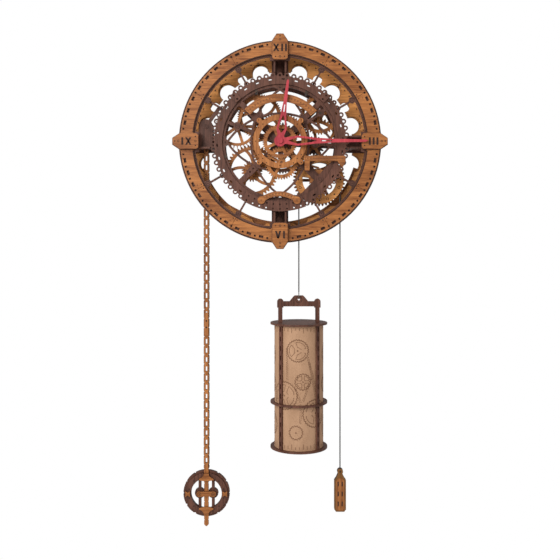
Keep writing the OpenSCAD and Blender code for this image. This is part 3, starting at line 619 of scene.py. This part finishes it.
class CLOCK_OT_train(bpy.types.Operator):
    """Finishes the wheels, pinions, arbors, pulley and click."""

    bl_idname = "clock.train"
    bl_label = "Train"

    def execute(self, context):
        dress(golden("X"), "great_wheel", "centre_wheel", "escape_wheel", "hour_wheel")
        dress(golden("X"), "ratchet_wheel", "lower_wheel")
        dress(golden("Z"), "intermediate_wheel", "third_wheel", "motion_wheel", "upper_wheel")
        pinions = ("intermediate", "idler", "centre", "cannon", "third", "escape")
        dress(stained("X"), *(f"{name}_pinion" for name in pinions))
        dress(stained("X"), "click_plate", "pallet_anchor")
        # painted light: the pulley's wood is brightened against the shade of the front bridge
        dress(shade_lifted_wood(), "pulley")
        dress(golden("Z"), "click")
        arbors = ("great", "intermediate", "centre", "third", "escape", "anchor")
        dress(drawn_steel(), *(f"{name}_arbor" for name in arbors))
        return {"FINISHED"}


class CLOCK_OT_hands(bpy.types.Operator):
    """Paints the hands."""

    bl_idname = "clock.hands"
    bl_label = "Hands"

    def execute(self, context):
        dress(red_paint(), "hour_hand", "minute_hand")
        return {"FINISHED"}


class CLOCK_OT_pendulum(bpy.types.Operator):
    """Finishes the pendulum's rod and bob."""

    bl_idname = "clock.pendulum"
    bl_label = "Pendulum"

    def execute(self, context):
        dress(golden("Z"), "pendulum_rod")
        dress(golden("X"), "bob_cross")
        dress(stained("Z"), "pendulum_rod_back", "bob_ring")
        return {"FINISHED"}


class CLOCK_OT_weights(bpy.types.Operator):
    """Finishes the weight and the counterweight."""

    bl_idname = "clock.weights"
    bl_label = "Weights"

    def execute(self, context):
        dress(kraft_card(), "weight_tube")
        dress(cast_iron(), "weight_filling")
        dress(drawn_steel(), "weight_hook")
        dress(counterweight_wood(), "counterweight")
        return {"FINISHED"}


class CLOCK_OT_weight_frame(bpy.types.Operator):
    """Makes the weight's frame again with its middle ring lower down, and rings the bail's hole."""

    bl_idname = "clock.weight_frame"
    bl_label = "Weight frame"

    def execute(self, context):
        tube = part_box("weight_tube")
        wanted = tube[0].z + sizes().weight_ring_height
        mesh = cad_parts["weight_frame"].data.copy()
        mesh.materials.clear()
        # the solids' own ring: nothing else of the frame has corners in the 3 mm where it lies
        share_down, half = 0.37, 1.5 * MM
        old = tube[1].z - share_down * (tube[1].z - tube[0].z)
        ring = [v for v in mesh.vertices if abs(v.co.z - (old - half)) < half + 0.1 * MM]
        if not ring:
            raise RuntimeError("the weight's middle ring isn't where it was")
        for vert in ring:
            vert.co.z += wanted - old
        mesh.update()
        piece = new_piece("weight_frame_sheets", mesh, stained_on_edge())
        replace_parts(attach(piece, "weight"), "weight_frame")
        hook, bail_height = middle_of("weight_hook"), 42 * MM
        eye = [hook.x, tube[1].z + bail_height]
        scorch_marks("bail_ring", hoop(eye, 5.4 * MM, 0.9 * MM, 20), hook.y - half, "weight")
        return {"FINISHED"}


class CLOCK_OT_numerals(bpy.types.Operator):
    """Lays the four hour numerals, and the dots and small rings at both ends of each plaque."""

    bl_idname = "clock.numerals"
    bl_label = "Numerals"

    def execute(self, context):
        face = face_of("hour_plaques")
        for letters, degrees in {"XII": 90, "III": 0, "VI": 270, "IX": 180}.items():
            centre = on_dial(sizes().numeral_radius, degrees)
            scorch_marks(f"numeral_{letters}", numeral(letters, centre), face)
        tip, outer, inner, aside = 177 * MM, 171.3 * MM, 142.3 * MM, 7.5 * MM
        dot = sizes().dot_radius * 1.3
        marks = []
        for degrees in (0, 90, 180, 270):
            marks.append(disc(on_dial(tip, degrees), dot))
            for radius in (outer, inner):
                marks += hoop(on_dial(radius, degrees), 1.5 * MM, 0.7 * MM)
            for offset in (-aside, aside):
                marks.append(disc(around(on_dial(inner, degrees), offset, degrees + 90), dot))
        scorch_marks("plaque_dots", marks, face)
        return {"FINISHED"}


class CLOCK_OT_marks(bpy.types.Operator):
    """Lays scorched marks on the dial, the rim's bosses, the centre ring and the pulley, and a line
    of painted shade along the dial's inner edge.
    """

    bl_idname = "clock.marks"
    bl_label = "Scorched marks"

    def execute(self, context):
        dot, dial = sizes().dot_radius, face_of("dial_ring")
        between = [degrees for degrees in range(0, 360, 30) if degrees % 90]
        seam, seam_end = 151.5 * MM, 158 * MM
        seams = []
        for degrees in between:
            seams += [disc(on_dial(seam, degrees + s), dot * 1.1) for s in (-1.4, 1.4)]
            seams.append(disc(on_dial(seam_end, degrees - 2.2), dot * 0.8))
        scorch_marks("seam_dots", seams, dial)

        # the dial's long slots and the square ones between them: radius, place in the pitch,
        # depth and length; a plaque lies over the slots within its covered angle
        slots, count, covered = ((163.775, 0.5, 3, 6.4), (164.775, 1, 2, 2)), 48, 6
        borders = []
        for i in range(count):
            for radius, place, deep, long in slots:
                degrees = (i + place) * 360 / count
                if abs((degrees + 45) % 90 - 45) > covered:
                    borders += slot_border(radius * MM, degrees, deep * MM, long * MM, 0.6 * MM)
        scorch_marks("slot_borders", borders, dial)
        # dark lines along the dial's edges: the outer line is the scorched rim, the inner line is
        # painted shade along the dial's inner edge
        edge = []
        for start in (0, 90, 180, 270):
            # radius, width, and the angle left free beside a plaque
            for radius, width, gap in ((169.3, 1.2, 5), (147.9, 1.7, 6)):
                ends = start + gap, start + 90 - gap
                edge += arc_line(DIAL, radius * MM, width * MM, *ends, 2)
        scorch_marks("dial_scorch_and_shade_lines", edge, dial)

        bosses = []
        for degrees in between:
            bosses += ringed_dot(on_dial(141 * MM, degrees), 3.6 * MM, dot)
        scorch_marks("boss_rings", bosses, face_of("rim_ring"))

        ear_tip, ear_side = 51 * MM, 43 * MM
        ears = []
        for degrees in range(45, 360, 90):
            ears.append(disc(on_dial(ear_tip, degrees), dot * 1.1))
            ears += [disc(on_dial(ear_side, degrees + s), dot) for s in (-13, 13)]
        scorch_marks("ear_dots", ears, face_of("centre_ring"))

        middle, row, count = middle_of("pulley"), 36 * MM, 16
        rim = []
        for i in range(count):
            centre = around((middle.x, middle.z), row, 360 * i / count)
            rim += hoop(centre, 2 * MM, 0.8 * MM) if i % 2 else [disc(centre, dot * 1.5)]
        scorch_marks("pulley_marks", rim, face_of("pulley"), "great")
        return {"FINISHED"}


class CLOCK_OT_trim_ring(bpy.types.Operator):
    """Makes the dark ring behind the dial again, cut back between its bosses."""

    bl_idname = "clock.trim_ring"
    bl_label = "Trim ring"

    def execute(self, context):
        low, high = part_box("rim_ring")
        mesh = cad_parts["rim_ring"].data.copy()
        mesh.materials.clear()
        bm = bmesh.new()
        bm.from_mesh(mesh)
        bmesh.ops.remove_doubles(bm, verts=bm.verts, dist=0.001 * MM)
        bm.to_mesh(mesh)
        bm.free()
        piece = new_piece("trim_ring", mesh, stained("X"))
        # half of what stays whole round a boss and behind a plaque, in degrees
        boss, plaque, inside = 2.1, 7, 130 * MM
        windows = []
        for foot in range(0, 360, 30):
            start = foot + (plaque if foot % 90 == 0 else boss)
            end = foot + 30 - (plaque if foot % 90 == 60 else boss)
            turns = [start + (end - start) * i / 16 for i in range(17)]
            outer = [on_dial(sizes().trim_inner, t) for t in turns]
            windows.append(outer + [on_dial(inside, t) for t in turns[::-1]])
        prism = sheet("trim_cutter", windows, low.y - MM, high.y + MM)
        cutter = bpy.data.objects.new("trim_cutter", prism)
        context.scene.collection.objects.link(cutter)
        cut = piece.modifiers.new("cut", "BOOLEAN")
        cut.operation, cut.solver, cut.object = "DIFFERENCE", "EXACT", cutter
        graph = context.evaluated_depsgraph_get()
        done = bpy.data.meshes.new_from_object(piece.evaluated_get(graph))
        piece.modifiers.clear()
        piece.data = done
        bpy.data.objects.remove(cutter)
        if len(done.polygons) < len(mesh.polygons):
            raise RuntimeError("the trim ring wasn't cut")
        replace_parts(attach(piece, "frame"), "rim_ring")
        return {"FINISHED"}


class CLOCK_OT_back_band(bpy.types.Operator):
    """Backs the rear ring with a band in its scallops, whose wood is brightened with painted light
    against the shade it lies in, and scorches squares on both.
    """

    bl_idname = "clock.back_band"
    bl_label = "Rear band"
    # inner radius between the bays
    plain = 137.3 * MM

    def bay(self, degrees):
        """Inner edge of the scalloped part: a round bay in each large scallop only."""
        middle, radius, lowest, reach_aside = 128 * MM, 14.5 * MM, 127.5 * MM, 8.5
        off = abs(degrees % 30 - 15)
        if off > reach_aside:
            return self.plain
        away = math.radians(off)
        reach = radius**2 - (middle * math.sin(away)) ** 2
        return max(lowest, middle * math.cos(away) + math.sqrt(reach)) if reach > 0 else lowest

    def execute(self, context):
        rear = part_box("back_ring")[1].y
        outer, thick = 147 * MM, 2.4 * MM
        bands, squares = [], []
        # the scalloped part, with a gap behind the top plaque
        for low, high in ((-17, 81.5), (98.5, 197)):
            turns = [low + (high - low) * i / 130 for i in range(131)]
            edge = [on_dial(self.bay(t), t) for t in turns[::-1]]
            bands.append([on_dial(outer, t) for t in turns] + edge)
        # below the scalloped part the band is plain, and wider from the lower left on
        turns, widens, more = range(197, 344, 2), 229, 2.8 * MM
        lower = [on_dial(outer, t) for t in turns]
        for t in turns[::-1]:
            wider = min(max((t - widens) / 8, 0), 1)
            lower.append(on_dial(self.plain - more * wider, t))
        for name, outlines, wood in (
            ("rear_band_lower", [lower], golden("X")),
            # painted light: the scalloped band's wood is brightened against the shade behind the
            # dial
            ("rear_band", bands, shade_lifted_wood()),
        ):
            flat_marks(name, outlines, rear + thick, "frame", wood, thick)
        for middle in range(15, 166, 30):
            for offset in (-3.3, 0, 3.3):
                turn, half = middle + offset, 0.45 if offset else 0.8
                squares.append(block(DIAL, 143.2 * MM, 145.2 * MM, turn - half, turn + half))
        scorch_marks("rear_band_squares", squares, rear)
        row = [block(DIAL, 146.8 * MM, 148.6 * MM, t - 0.5, t + 0.5) for t in range(-30, 211, 5)]
        scorch_marks("rear_ring_squares", row, face_of("back_ring"))
        return {"FINISHED"}


class CLOCK_OT_plate_borders(bpy.types.Operator):
    """Borders each bare name plate with a browned line and a plain row of lozenges."""

    bl_idname = "clock.plate_borders"
    bl_label = "Plate borders"

    def curved(self, centre, inner, outer, low, high):
        """Border of a curved plate, with its row of lozenges."""
        middle, width, pitch = (inner + outer) / 2, 0.7 * MM, 5.4 * MM
        marks = []
        for r in (inner, outer):
            marks += arc_line(centre, r, width, low, high)
        for degrees in (low, high):
            ends = [around(centre, r, degrees) for r in (inner, outer)]
            marks.append(stroke(*ends, width))
        step = math.degrees(pitch / middle)
        count = int((high - low) / step) - 1
        for i in range(count + 1):
            degrees = (low + high) / 2 + (i - count / 2) * step
            marks.append(lozenge(around(centre, middle, degrees), 4.2 * MM, 3 * MM, degrees))
        return marks

    def execute(self, context):
        face = face_of("arch_plates")
        upper = self.curved(DIAL, 69.8 * MM, 79.2 * MM, 42, 136)
        marks = [("upper_plate_border", upper, face)]
        low_middle = [-1.5 * MM, DIAL[1] - 135 * MM]
        lower = self.curved(low_middle, 44 * MM, 49.6 * MM, 58, 122)
        lower += [disc(around(low_middle, 46.8 * MM, t), 1.4 * MM) for t in (50, 130)]
        marks.append(("lower_plate_border", lower, face))

        left, right = 43 * MM, 96 * MM
        top, foot = DIAL[1] - 25.6 * MM, DIAL[1] - 31.4 * MM
        corners = [[left, foot], [right, foot], [right, top], [left, top]]
        side = [stroke(a, b, 0.7 * MM) for a, b in zip(corners, corners[1:] + corners[:1])]
        side += [lozenge([x * MM, (top + foot) / 2], 3 * MM, 3.8 * MM, 0) for x in range(47, 94, 5)]
        side += [disc([105.5 * MM, DIAL[1] - z * MM], 1.3 * MM) for z in (28.5, 38)]
        side.append(disc([46 * MM, DIAL[1] - 43 * MM], 1.2 * MM))
        marks.append(("side_plate_border", side, face_of("side_plate")))
        for name, outlines, surface in marks:
            flat_marks(name, outlines, surface, "frame", lightly_scorched())
        return {"FINISHED"}


class CLOCK_OT_bearing_caps(bpy.types.Operator):
    """Caps the front end of each arbor that shows with a small dark disc, engraved with a ring."""

    bl_idname = "clock.bearing_caps"
    bl_label = "Bearing caps"

    def execute(self, context):
        thick = 1.2 * MM
        places = {
            "front_bridge": ("great_arbor", "intermediate_arbor", "third_arbor", "escape_arbor"),
            "pendulum_bracket": ("anchor_arbor",),
        }
        for plate, arbors in places.items():
            spots = [[middle_of(arbor).x, middle_of(arbor).z] for arbor in arbors]
            face = face_of(plate)
            caps = [disc(spot, 4.6 * MM, 32) for spot in spots]
            dark = stained_on_edge()
            flat_marks(f"{plate}_caps", caps, face, "frame", dark, thick)
            rings = [piece for spot in spots for piece in ringed_dot(spot)]
            scorch_marks(f"{plate}_cap_rings", rings, face - thick)
        return {"FINISHED"}


class CLOCK_OT_pendulum_marks(bpy.types.Operator):
    """Screws a light splice plate onto the rod's joint and engraves the bob's front."""

    bl_idname = "clock.pendulum_marks"
    bl_label = "Pendulum marks"

    def execute(self, context):
        x = middle_of("anchor_arbor").x
        face = face_of("pendulum_rod")
        middle, reach, thick = -463.5 * MM, 20 * MM, 1.2 * MM
        plate = upright(x, middle - reach, middle + reach, 3.7 * MM)
        flat_marks("rod_splice", [plate], face, "pendulum", golden("Z"), thick)
        heads = [disc([x, middle + s * 5.6 * MM], 1.5 * MM) for s in (-1, 1)]
        scorch_marks("rod_splice_screws", heads, face - thick, "pendulum")

        centre = middle_of("bob_ring")
        row, half_cross = 30.5 * MM, 9 * MM
        dots = []
        for degrees in range(15, 360, 30):
            spot = around((centre.x, centre.z), row, degrees)
            if abs(spot[0] - centre.x) > half_cross:
                dots.append(disc(spot, 1.2 * MM))
        scorch_marks("bob_dots", dots, face_of("bob_ring"), "pendulum")
        knobs = []
        for side in (-12 * MM, 12 * MM):
            knobs += ringed_dot([centre.x + side, centre.z])
        scorch_marks("bob_knobs", knobs, face_of("bob_cross"), "pendulum")
        return {"FINISHED"}


class CLOCK_OT_counterweight_face(bpy.types.Operator):
    """Lays the narrow light sheet with its six scorched slots on the counterweight."""

    bl_idname = "clock.counterweight_face"
    bl_label = "Counterweight face"

    def execute(self, context):
        low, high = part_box("counterweight")
        x = (low.x + high.x) / 2
        top, foot = high.z - 16 * MM, low.z + 2.5 * MM
        half, thick = 7.2 * MM, 0.8 * MM
        outline = [
            [x - half + 2 * MM, foot],
            [x + half - 2 * MM, foot],
            [x + half, foot + 3 * MM],
            [x + half, top - 5 * MM],
            [x + half - 4 * MM, top],
            [x - half + 4 * MM, top],
            [x - half, top - 5 * MM],
            [x - half, foot + 3 * MM],
        ]
        body = "counterweight"
        light = golden("Z")
        flat_marks("counterweight_face", [outline], low.y, body, light, thick)
        first, pitch, aside, reach = 26 * MM, 17 * MM, 3.4 * MM, 4 * MM
        slots = []
        for i in range(3):
            level = high.z - first - i * pitch
            for s in (-aside, aside):
                slots.append(upright(x + s, level - reach, level + reach, 1.1 * MM))
        scorch_marks("counterweight_slots", slots, low.y - thick, body)
        return {"FINISHED"}


def gear_line(centre, radius, teeth, depth):
    """Closed line of a toothed wheel with square teeth."""
    corners = ((0.0, -depth), (0.22, -depth), (0.28, 0), (0.72, 0), (0.78, -depth))
    points = [
        around(centre, radius + reach, 360 * (i + share) / teeth)
        for i in range(teeth)
        for share, reach in corners
    ]
    return points + points[:1]


class CLOCK_OT_line_work(bpy.types.Operator):
    """Wraps a pattern of wheel outlines round the weight's card tube."""

    bl_idname = "clock.line_work"
    bl_label = "Line work"

    def execute(self, context):
        low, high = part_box("weight_tube")
        middle = (low + high) / 2
        tube = (high.x - low.x) / 2
        # how far the ink's front and back stand from the card, and what stays bare at both ends
        front, back, margin = 0.18 * MM, 0.0, 2 * MM
        mesh = bpy.data.meshes.new("weight_line_work")
        bm = bmesh.new()

        def wrapped(u, v, lift):
            x, y = around(middle, tube + lift, math.degrees(u / tube) - 90)
            return (x, y, v)

        def ribbon(points, width):
            for (u0, v0), (u1, v1) in zip(points, points[1:]):
                if min(v0, v1) < low.z + margin or max(v0, v1) > high.z - margin:
                    continue
                quad = stroke((u0, v0), (u1, v1), width)
                top = [bm.verts.new(wrapped(u, v, front)) for u, v in quad]
                foot = [bm.verts.new(wrapped(u, v, back)) for u, v in quad]
                bm.faces.new(top)
                bm.faces.new(foot[::-1])
                for i in range(4):
                    bm.faces.new((top[i], foot[i], foot[(i + 1) % 4], top[(i + 1) % 4]))

        width = sizes().line_width

        def round_line(centre, r, low=0, high=360, steps=8):
            turns = [low + (high - low) * i / steps for i in range(steps + 1)]
            ribbon([around(centre, r, t) for t in turns], width * 0.8)

        def chain(a, b, pitch=3 * MM, link=1.7 * MM):
            """Two rows of short strokes from a to b, like the plates of a chain."""
            run = math.dist(a, b)
            ahead = Vector((b[0] - a[0], b[1] - a[1])) / run
            aside = Vector((-ahead.y, ahead.x)) * 1.1 * MM
            for i in range(int(run / pitch)):
                for side in (-1, 1):
                    start = Vector(a) + ahead * pitch * (i + 0.25 * side) + aside * side
                    ribbon([start, start + ahead * link], width)

        # place round the tube from its front, height above its foot and radius in mm, teeth,
        # windows, or 0 for a plain wheel
        wheels = [
            (-3, 168, 19, 28, 3), (6, 116, 14, 18, 4), (-6, 31, 12, 16, 0), (-27, 92, 24, 32, 5),
            (29, 62, 24, 32, 4), (66, 160, 17, 22, 3), (62, 108, 15, 20, 4), (68, 34, 19, 24, 5),
            (-68, 156, 16, 20, 3), (-66, 108, 15, 20, 4), (-64, 40, 19, 24, 5),
            (128, 140, 20, 26, 3), (124, 60, 22, 28, 5),
        ]
        for along, up, radius, teeth, windows in wheels:
            hub, r = (along * MM, low.z + up * MM), radius * MM
            ribbon(gear_line(hub, r, teeth, 1.7 * MM), width)
            round_line(hub, 1 * MM)
            outer, inner, lean = 0.76 * r, 0.3 * r, 12
            for i in range(windows):
                start, end = 360 * (i + 0.14) / windows, 360 * (i + 0.86) / windows
                round_line(hub, outer, start, end, 10)
                round_line(hub, inner, start + lean, end - lean, 5)
                for far, near in ((start, start + lean), (end, end - lean)):
                    ribbon([around(hub, outer, far), around(hub, inner, near)], width * 0.8)
        # runs of chain between the wheels, as pairs of places round the tube and heights in mm
        chains = [
            (-22, 172, -21, 118), (14, 158, 30, 86), (17, 148, 33, 90), (-7, 106, 3, 78),
            (3, 78, 1, 44), (20, 122, 5, 80), (60, 143, 54, 122), (-60, 142, -58, 122),
            (120, 120, 118, 84),
        ]
        for u0, v0, u1, v1 in chains:
            chain((u0 * MM, low.z + v0 * MM), (u1 * MM, low.z + v1 * MM))
        # a fringe of upright strokes under the upper disc and over the lower one
        top, foot = high.z - 3 * MM, low.z + 3 * MM
        for i in range(0, 360, 9):
            u = math.radians(i) * tube
            long = (4 + 5 * math.sin(i * 2.3) ** 2) * MM
            ribbon([(u, top), (u, top - long)], width * 0.8)
            ribbon([(u, foot), (u, foot + long)], width * 0.8)
        bmesh.ops.recalc_face_normals(bm, faces=bm.faces)
        bm.to_mesh(mesh)
        bm.free()
        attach(new_piece("weight_line_work", mesh, line_ink()), "weight")
        return {"FINISHED"}


def braid(name, route, radius):
    """Mesh of a cord along a route, with three strands twisted round it as swells of its skin."""
    sides, strands, swell = 12, 3, 0.1
    mesh = bpy.data.meshes.new(name)
    bm = bmesh.new()
    rings, run = [], 0.0
    for i, point in enumerate(route):
        point = Vector(point)
        before, after = Vector(route[max(i - 1, 0)]), Vector(route[min(i + 1, len(route) - 1)])
        ahead = (after - before).normalized()
        side = ahead.cross(Vector((0, 1, 0))).normalized()
        deep = ahead.cross(side)
        if i:
            run += (point - Vector(route[i - 1])).length
        twist = math.tau * run / sizes().braid_pitch
        ring = []
        for k in range(sides):
            turn = math.tau * k / sides
            r = radius * (1 - swell + swell * math.cos(strands * (turn - twist)))
            ring.append(bm.verts.new(point + side * r * math.cos(turn) + deep * r * math.sin(turn)))
        rings.append(ring)
    for one, other in zip(rings, rings[1:]):
        for k in range(sides):
            bm.faces.new((one[k], one[(k + 1) % sides], other[(k + 1) % sides], other[k]))
    bm.faces.new(rings[0][::-1])
    bm.faces.new(rings[-1])
    bmesh.ops.recalc_face_normals(bm, faces=bm.faces)
    bm.to_mesh(mesh)
    bm.free()
    for face in mesh.polygons:
        face.use_smooth = True
    return mesh


class CLOCK_OT_cords(bpy.types.Operator):
    """Replaces the three plain lengths of cord with braided ones."""

    bl_idname = "clock.cords"
    bl_label = "Cords"

    def execute(self, context):
        material = braided_cord()
        step = sizes().braid_pitch / 8
        for node, body in (("weight_cord", "weight"), ("counterweight_cord", "counterweight")):
            low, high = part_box(node)
            middle = (low + high) / 2
            count = math.ceil((high.z - low.z) / step)
            foot, top = (middle.x, middle.y, low.z), (middle.x, middle.y, high.z)
            route = [Vector(foot).lerp(top, i / count) for i in range(count + 1)]
            mesh = braid(node, route, sizes().cord_radius)
            piece = new_piece(f"{node}_braid", mesh, material)
            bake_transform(piece)
            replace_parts(piece, node)
        low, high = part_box("cord_over_pulley")
        radius = (high.y - low.y) / 2
        run = (high.x - low.x) / 2 - radius
        middle = (low + high) / 2
        count = math.ceil(math.pi * run / step)
        route = []
        for i in range(count + 1):
            x, z = around((middle.x, low.z), run, 180 - 180 * i / count)
            route.append((x, middle.y, z))
        bend = braid("cord_bend", route, sizes().cord_radius)
        piece = new_piece("cord_over_pulley_braid", bend, material)
        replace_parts(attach(piece, "frame"), "cord_over_pulley")
        return {"FINISHED"}


class CLOCK_OT_stage(bpy.types.Operator):
    """Makes the camera, the floor and the plain studio light."""

    bl_idname = "clock.stage"
    bl_label = "Stage"

    def lamp(self, name, place, aim, size, power):
        data = bpy.data.lights.new(name, "AREA")
        data.size = size
        data.energy = power
        lamp = bpy.data.objects.new(name, data)
        lamp.location = place
        lamp.rotation_euler = (Vector(aim) - Vector(place)).to_track_quat("-Z", "Y").to_euler()
        bpy.context.scene.collection.objects.link(lamp)

    def execute(self, context):
        scene, stage = context.scene, context.scene.clock_stage
        data = bpy.data.cameras.new("camera")
        data.lens = stage.lens
        data.shift_y = stage.camera_drop
        camera = bpy.data.objects.new("camera", data)
        ring_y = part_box("dial_ring")[0].y
        camera.location = (0, ring_y - stage.camera_distance, stage.camera_height)
        camera.rotation_euler = (math.pi / 2, 0, 0)
        scene.collection.objects.link(camera)
        scene.camera = camera

        middle = (0, 0, -0.35)
        self.lamp("key", (-1.2, -1.8, 0.45), middle, 1.2, stage.key_power)
        self.lamp("fill", (1.5, -1.5, -0.2), middle, 1.2, stage.fill_power)

        world = bpy.data.worlds.new("studio")
        scene.world = world
        world.use_nodes = True
        tree = world.node_tree
        tree.nodes.clear()
        path = add(tree, "ShaderNodeLightPath").outputs
        seen = add(
            tree,
            "ShaderNodeMath",
            {0: path["Is Camera Ray"], 1: path["Is Transmission Ray"]},
            operation="MAXIMUM",
        ).outputs[0]
        light = add(
            tree, "ShaderNodeMapRange", {"Value": seen, "To Min": stage.sky, "To Max": 1.0}
        ).outputs[0]
        glow = add(tree, "ShaderNodeBackground", {"Color": (1, 1, 1, 1), "Strength": light})
        add(tree, "ShaderNodeOutputWorld", {"Surface": glow.outputs[0]})

        mesh = bpy.data.meshes.new("floor")
        reach, level = 6.0, -1.6
        corners = ((-reach, -reach), (reach, -reach), (reach, reach), (-reach, reach))
        mesh.from_pydata([(x, y, level) for x, y in corners], [], [(0, 1, 2, 3)])
        material, tree = blank("matt white floor paint")
        path = add(tree, "ShaderNodeLightPath").outputs
        grey = opaque([0.82] * 3)
        paint = add(tree, "ShaderNodeBsdfPrincipled", {"Base Color": grey, "Roughness": 0.8})
        white = add(tree, "ShaderNodeEmission", {"Color": (1, 1, 1, 1), "Strength": 1.0})
        shown = add(
            tree,
            "ShaderNodeMixShader",
            {0: path["Is Camera Ray"], 1: paint.outputs[0], 2: white.outputs[0]},
        )
        add(tree, "ShaderNodeOutputMaterial", {"Surface": shown.outputs[0]})
        mesh.materials.append(material)
        floor = bpy.data.objects.new("floor", mesh)
        scene.collection.objects.link(floor)
        scene.view_settings.view_transform = "Standard"
        return {"FINISHED"}


class CLOCK_PT_panel(bpy.types.Panel):
    """Lists the clock's operators and settings."""

    bl_idname = "CLOCK_PT_panel"
    bl_label = "Plywood Wall Clock"
    bl_space_type = "VIEW_3D"
    bl_region_type = "UI"
    bl_category = "Clock"

    def draw(self, context):
        for step in STEPS:
            self.layout.operator(step.bl_idname)
        for settings in ("clock_finishes", "clock_sizes", "clock_stage"):
            group = getattr(context.scene, settings)
            box = self.layout.box()
            for name in group.__annotations__:
                box.prop(group, name)


STEPS = (
    CLOCK_OT_stage,
    CLOCK_OT_cords,
    CLOCK_OT_dial,
    CLOCK_OT_frame,
    CLOCK_OT_train,
    CLOCK_OT_hands,
    CLOCK_OT_pendulum,
    CLOCK_OT_weights,
    CLOCK_OT_weight_frame,
    CLOCK_OT_numerals,
    CLOCK_OT_marks,
    CLOCK_OT_trim_ring,
    CLOCK_OT_back_band,
    CLOCK_OT_plate_borders,
    CLOCK_OT_bearing_caps,
    CLOCK_OT_pendulum_marks,
    CLOCK_OT_counterweight_face,
    CLOCK_OT_line_work,
)
CLASSES = (ClockFinishes, ClockSizes, ClockStage, *STEPS, CLOCK_PT_panel)


def register():
    for cls in CLASSES:
        bpy.utils.register_class(cls)
    bpy.types.Scene.clock_finishes = bpy.props.PointerProperty(type=ClockFinishes)
    bpy.types.Scene.clock_sizes = bpy.props.PointerProperty(type=ClockSizes)
    bpy.types.Scene.clock_stage = bpy.props.PointerProperty(type=ClockStage)


def unregister():
    del bpy.types.Scene.clock_stage
    del bpy.types.Scene.clock_sizes
    del bpy.types.Scene.clock_finishes
    for cls in reversed(CLASSES):
        bpy.utils.unregister_class(cls)


def main():
    register()
    bpy.ops.clock.stage()
    bpy.ops.clock.cords()
    bpy.ops.clock.dial()
    bpy.ops.clock.frame()
    bpy.ops.clock.train()
    bpy.ops.clock.hands()
    bpy.ops.clock.pendulum()
    bpy.ops.clock.weights()
    bpy.ops.clock.weight_frame()
    bpy.ops.clock.numerals()
    bpy.ops.clock.marks()
    bpy.ops.clock.trim_ring()
    bpy.ops.clock.back_band()
    bpy.ops.clock.plate_borders()
    bpy.ops.clock.bearing_caps()
    bpy.ops.clock.pendulum_marks()
    bpy.ops.clock.counterweight_face()
    bpy.ops.clock.line_work()


if __name__ == "__main__":
    main()
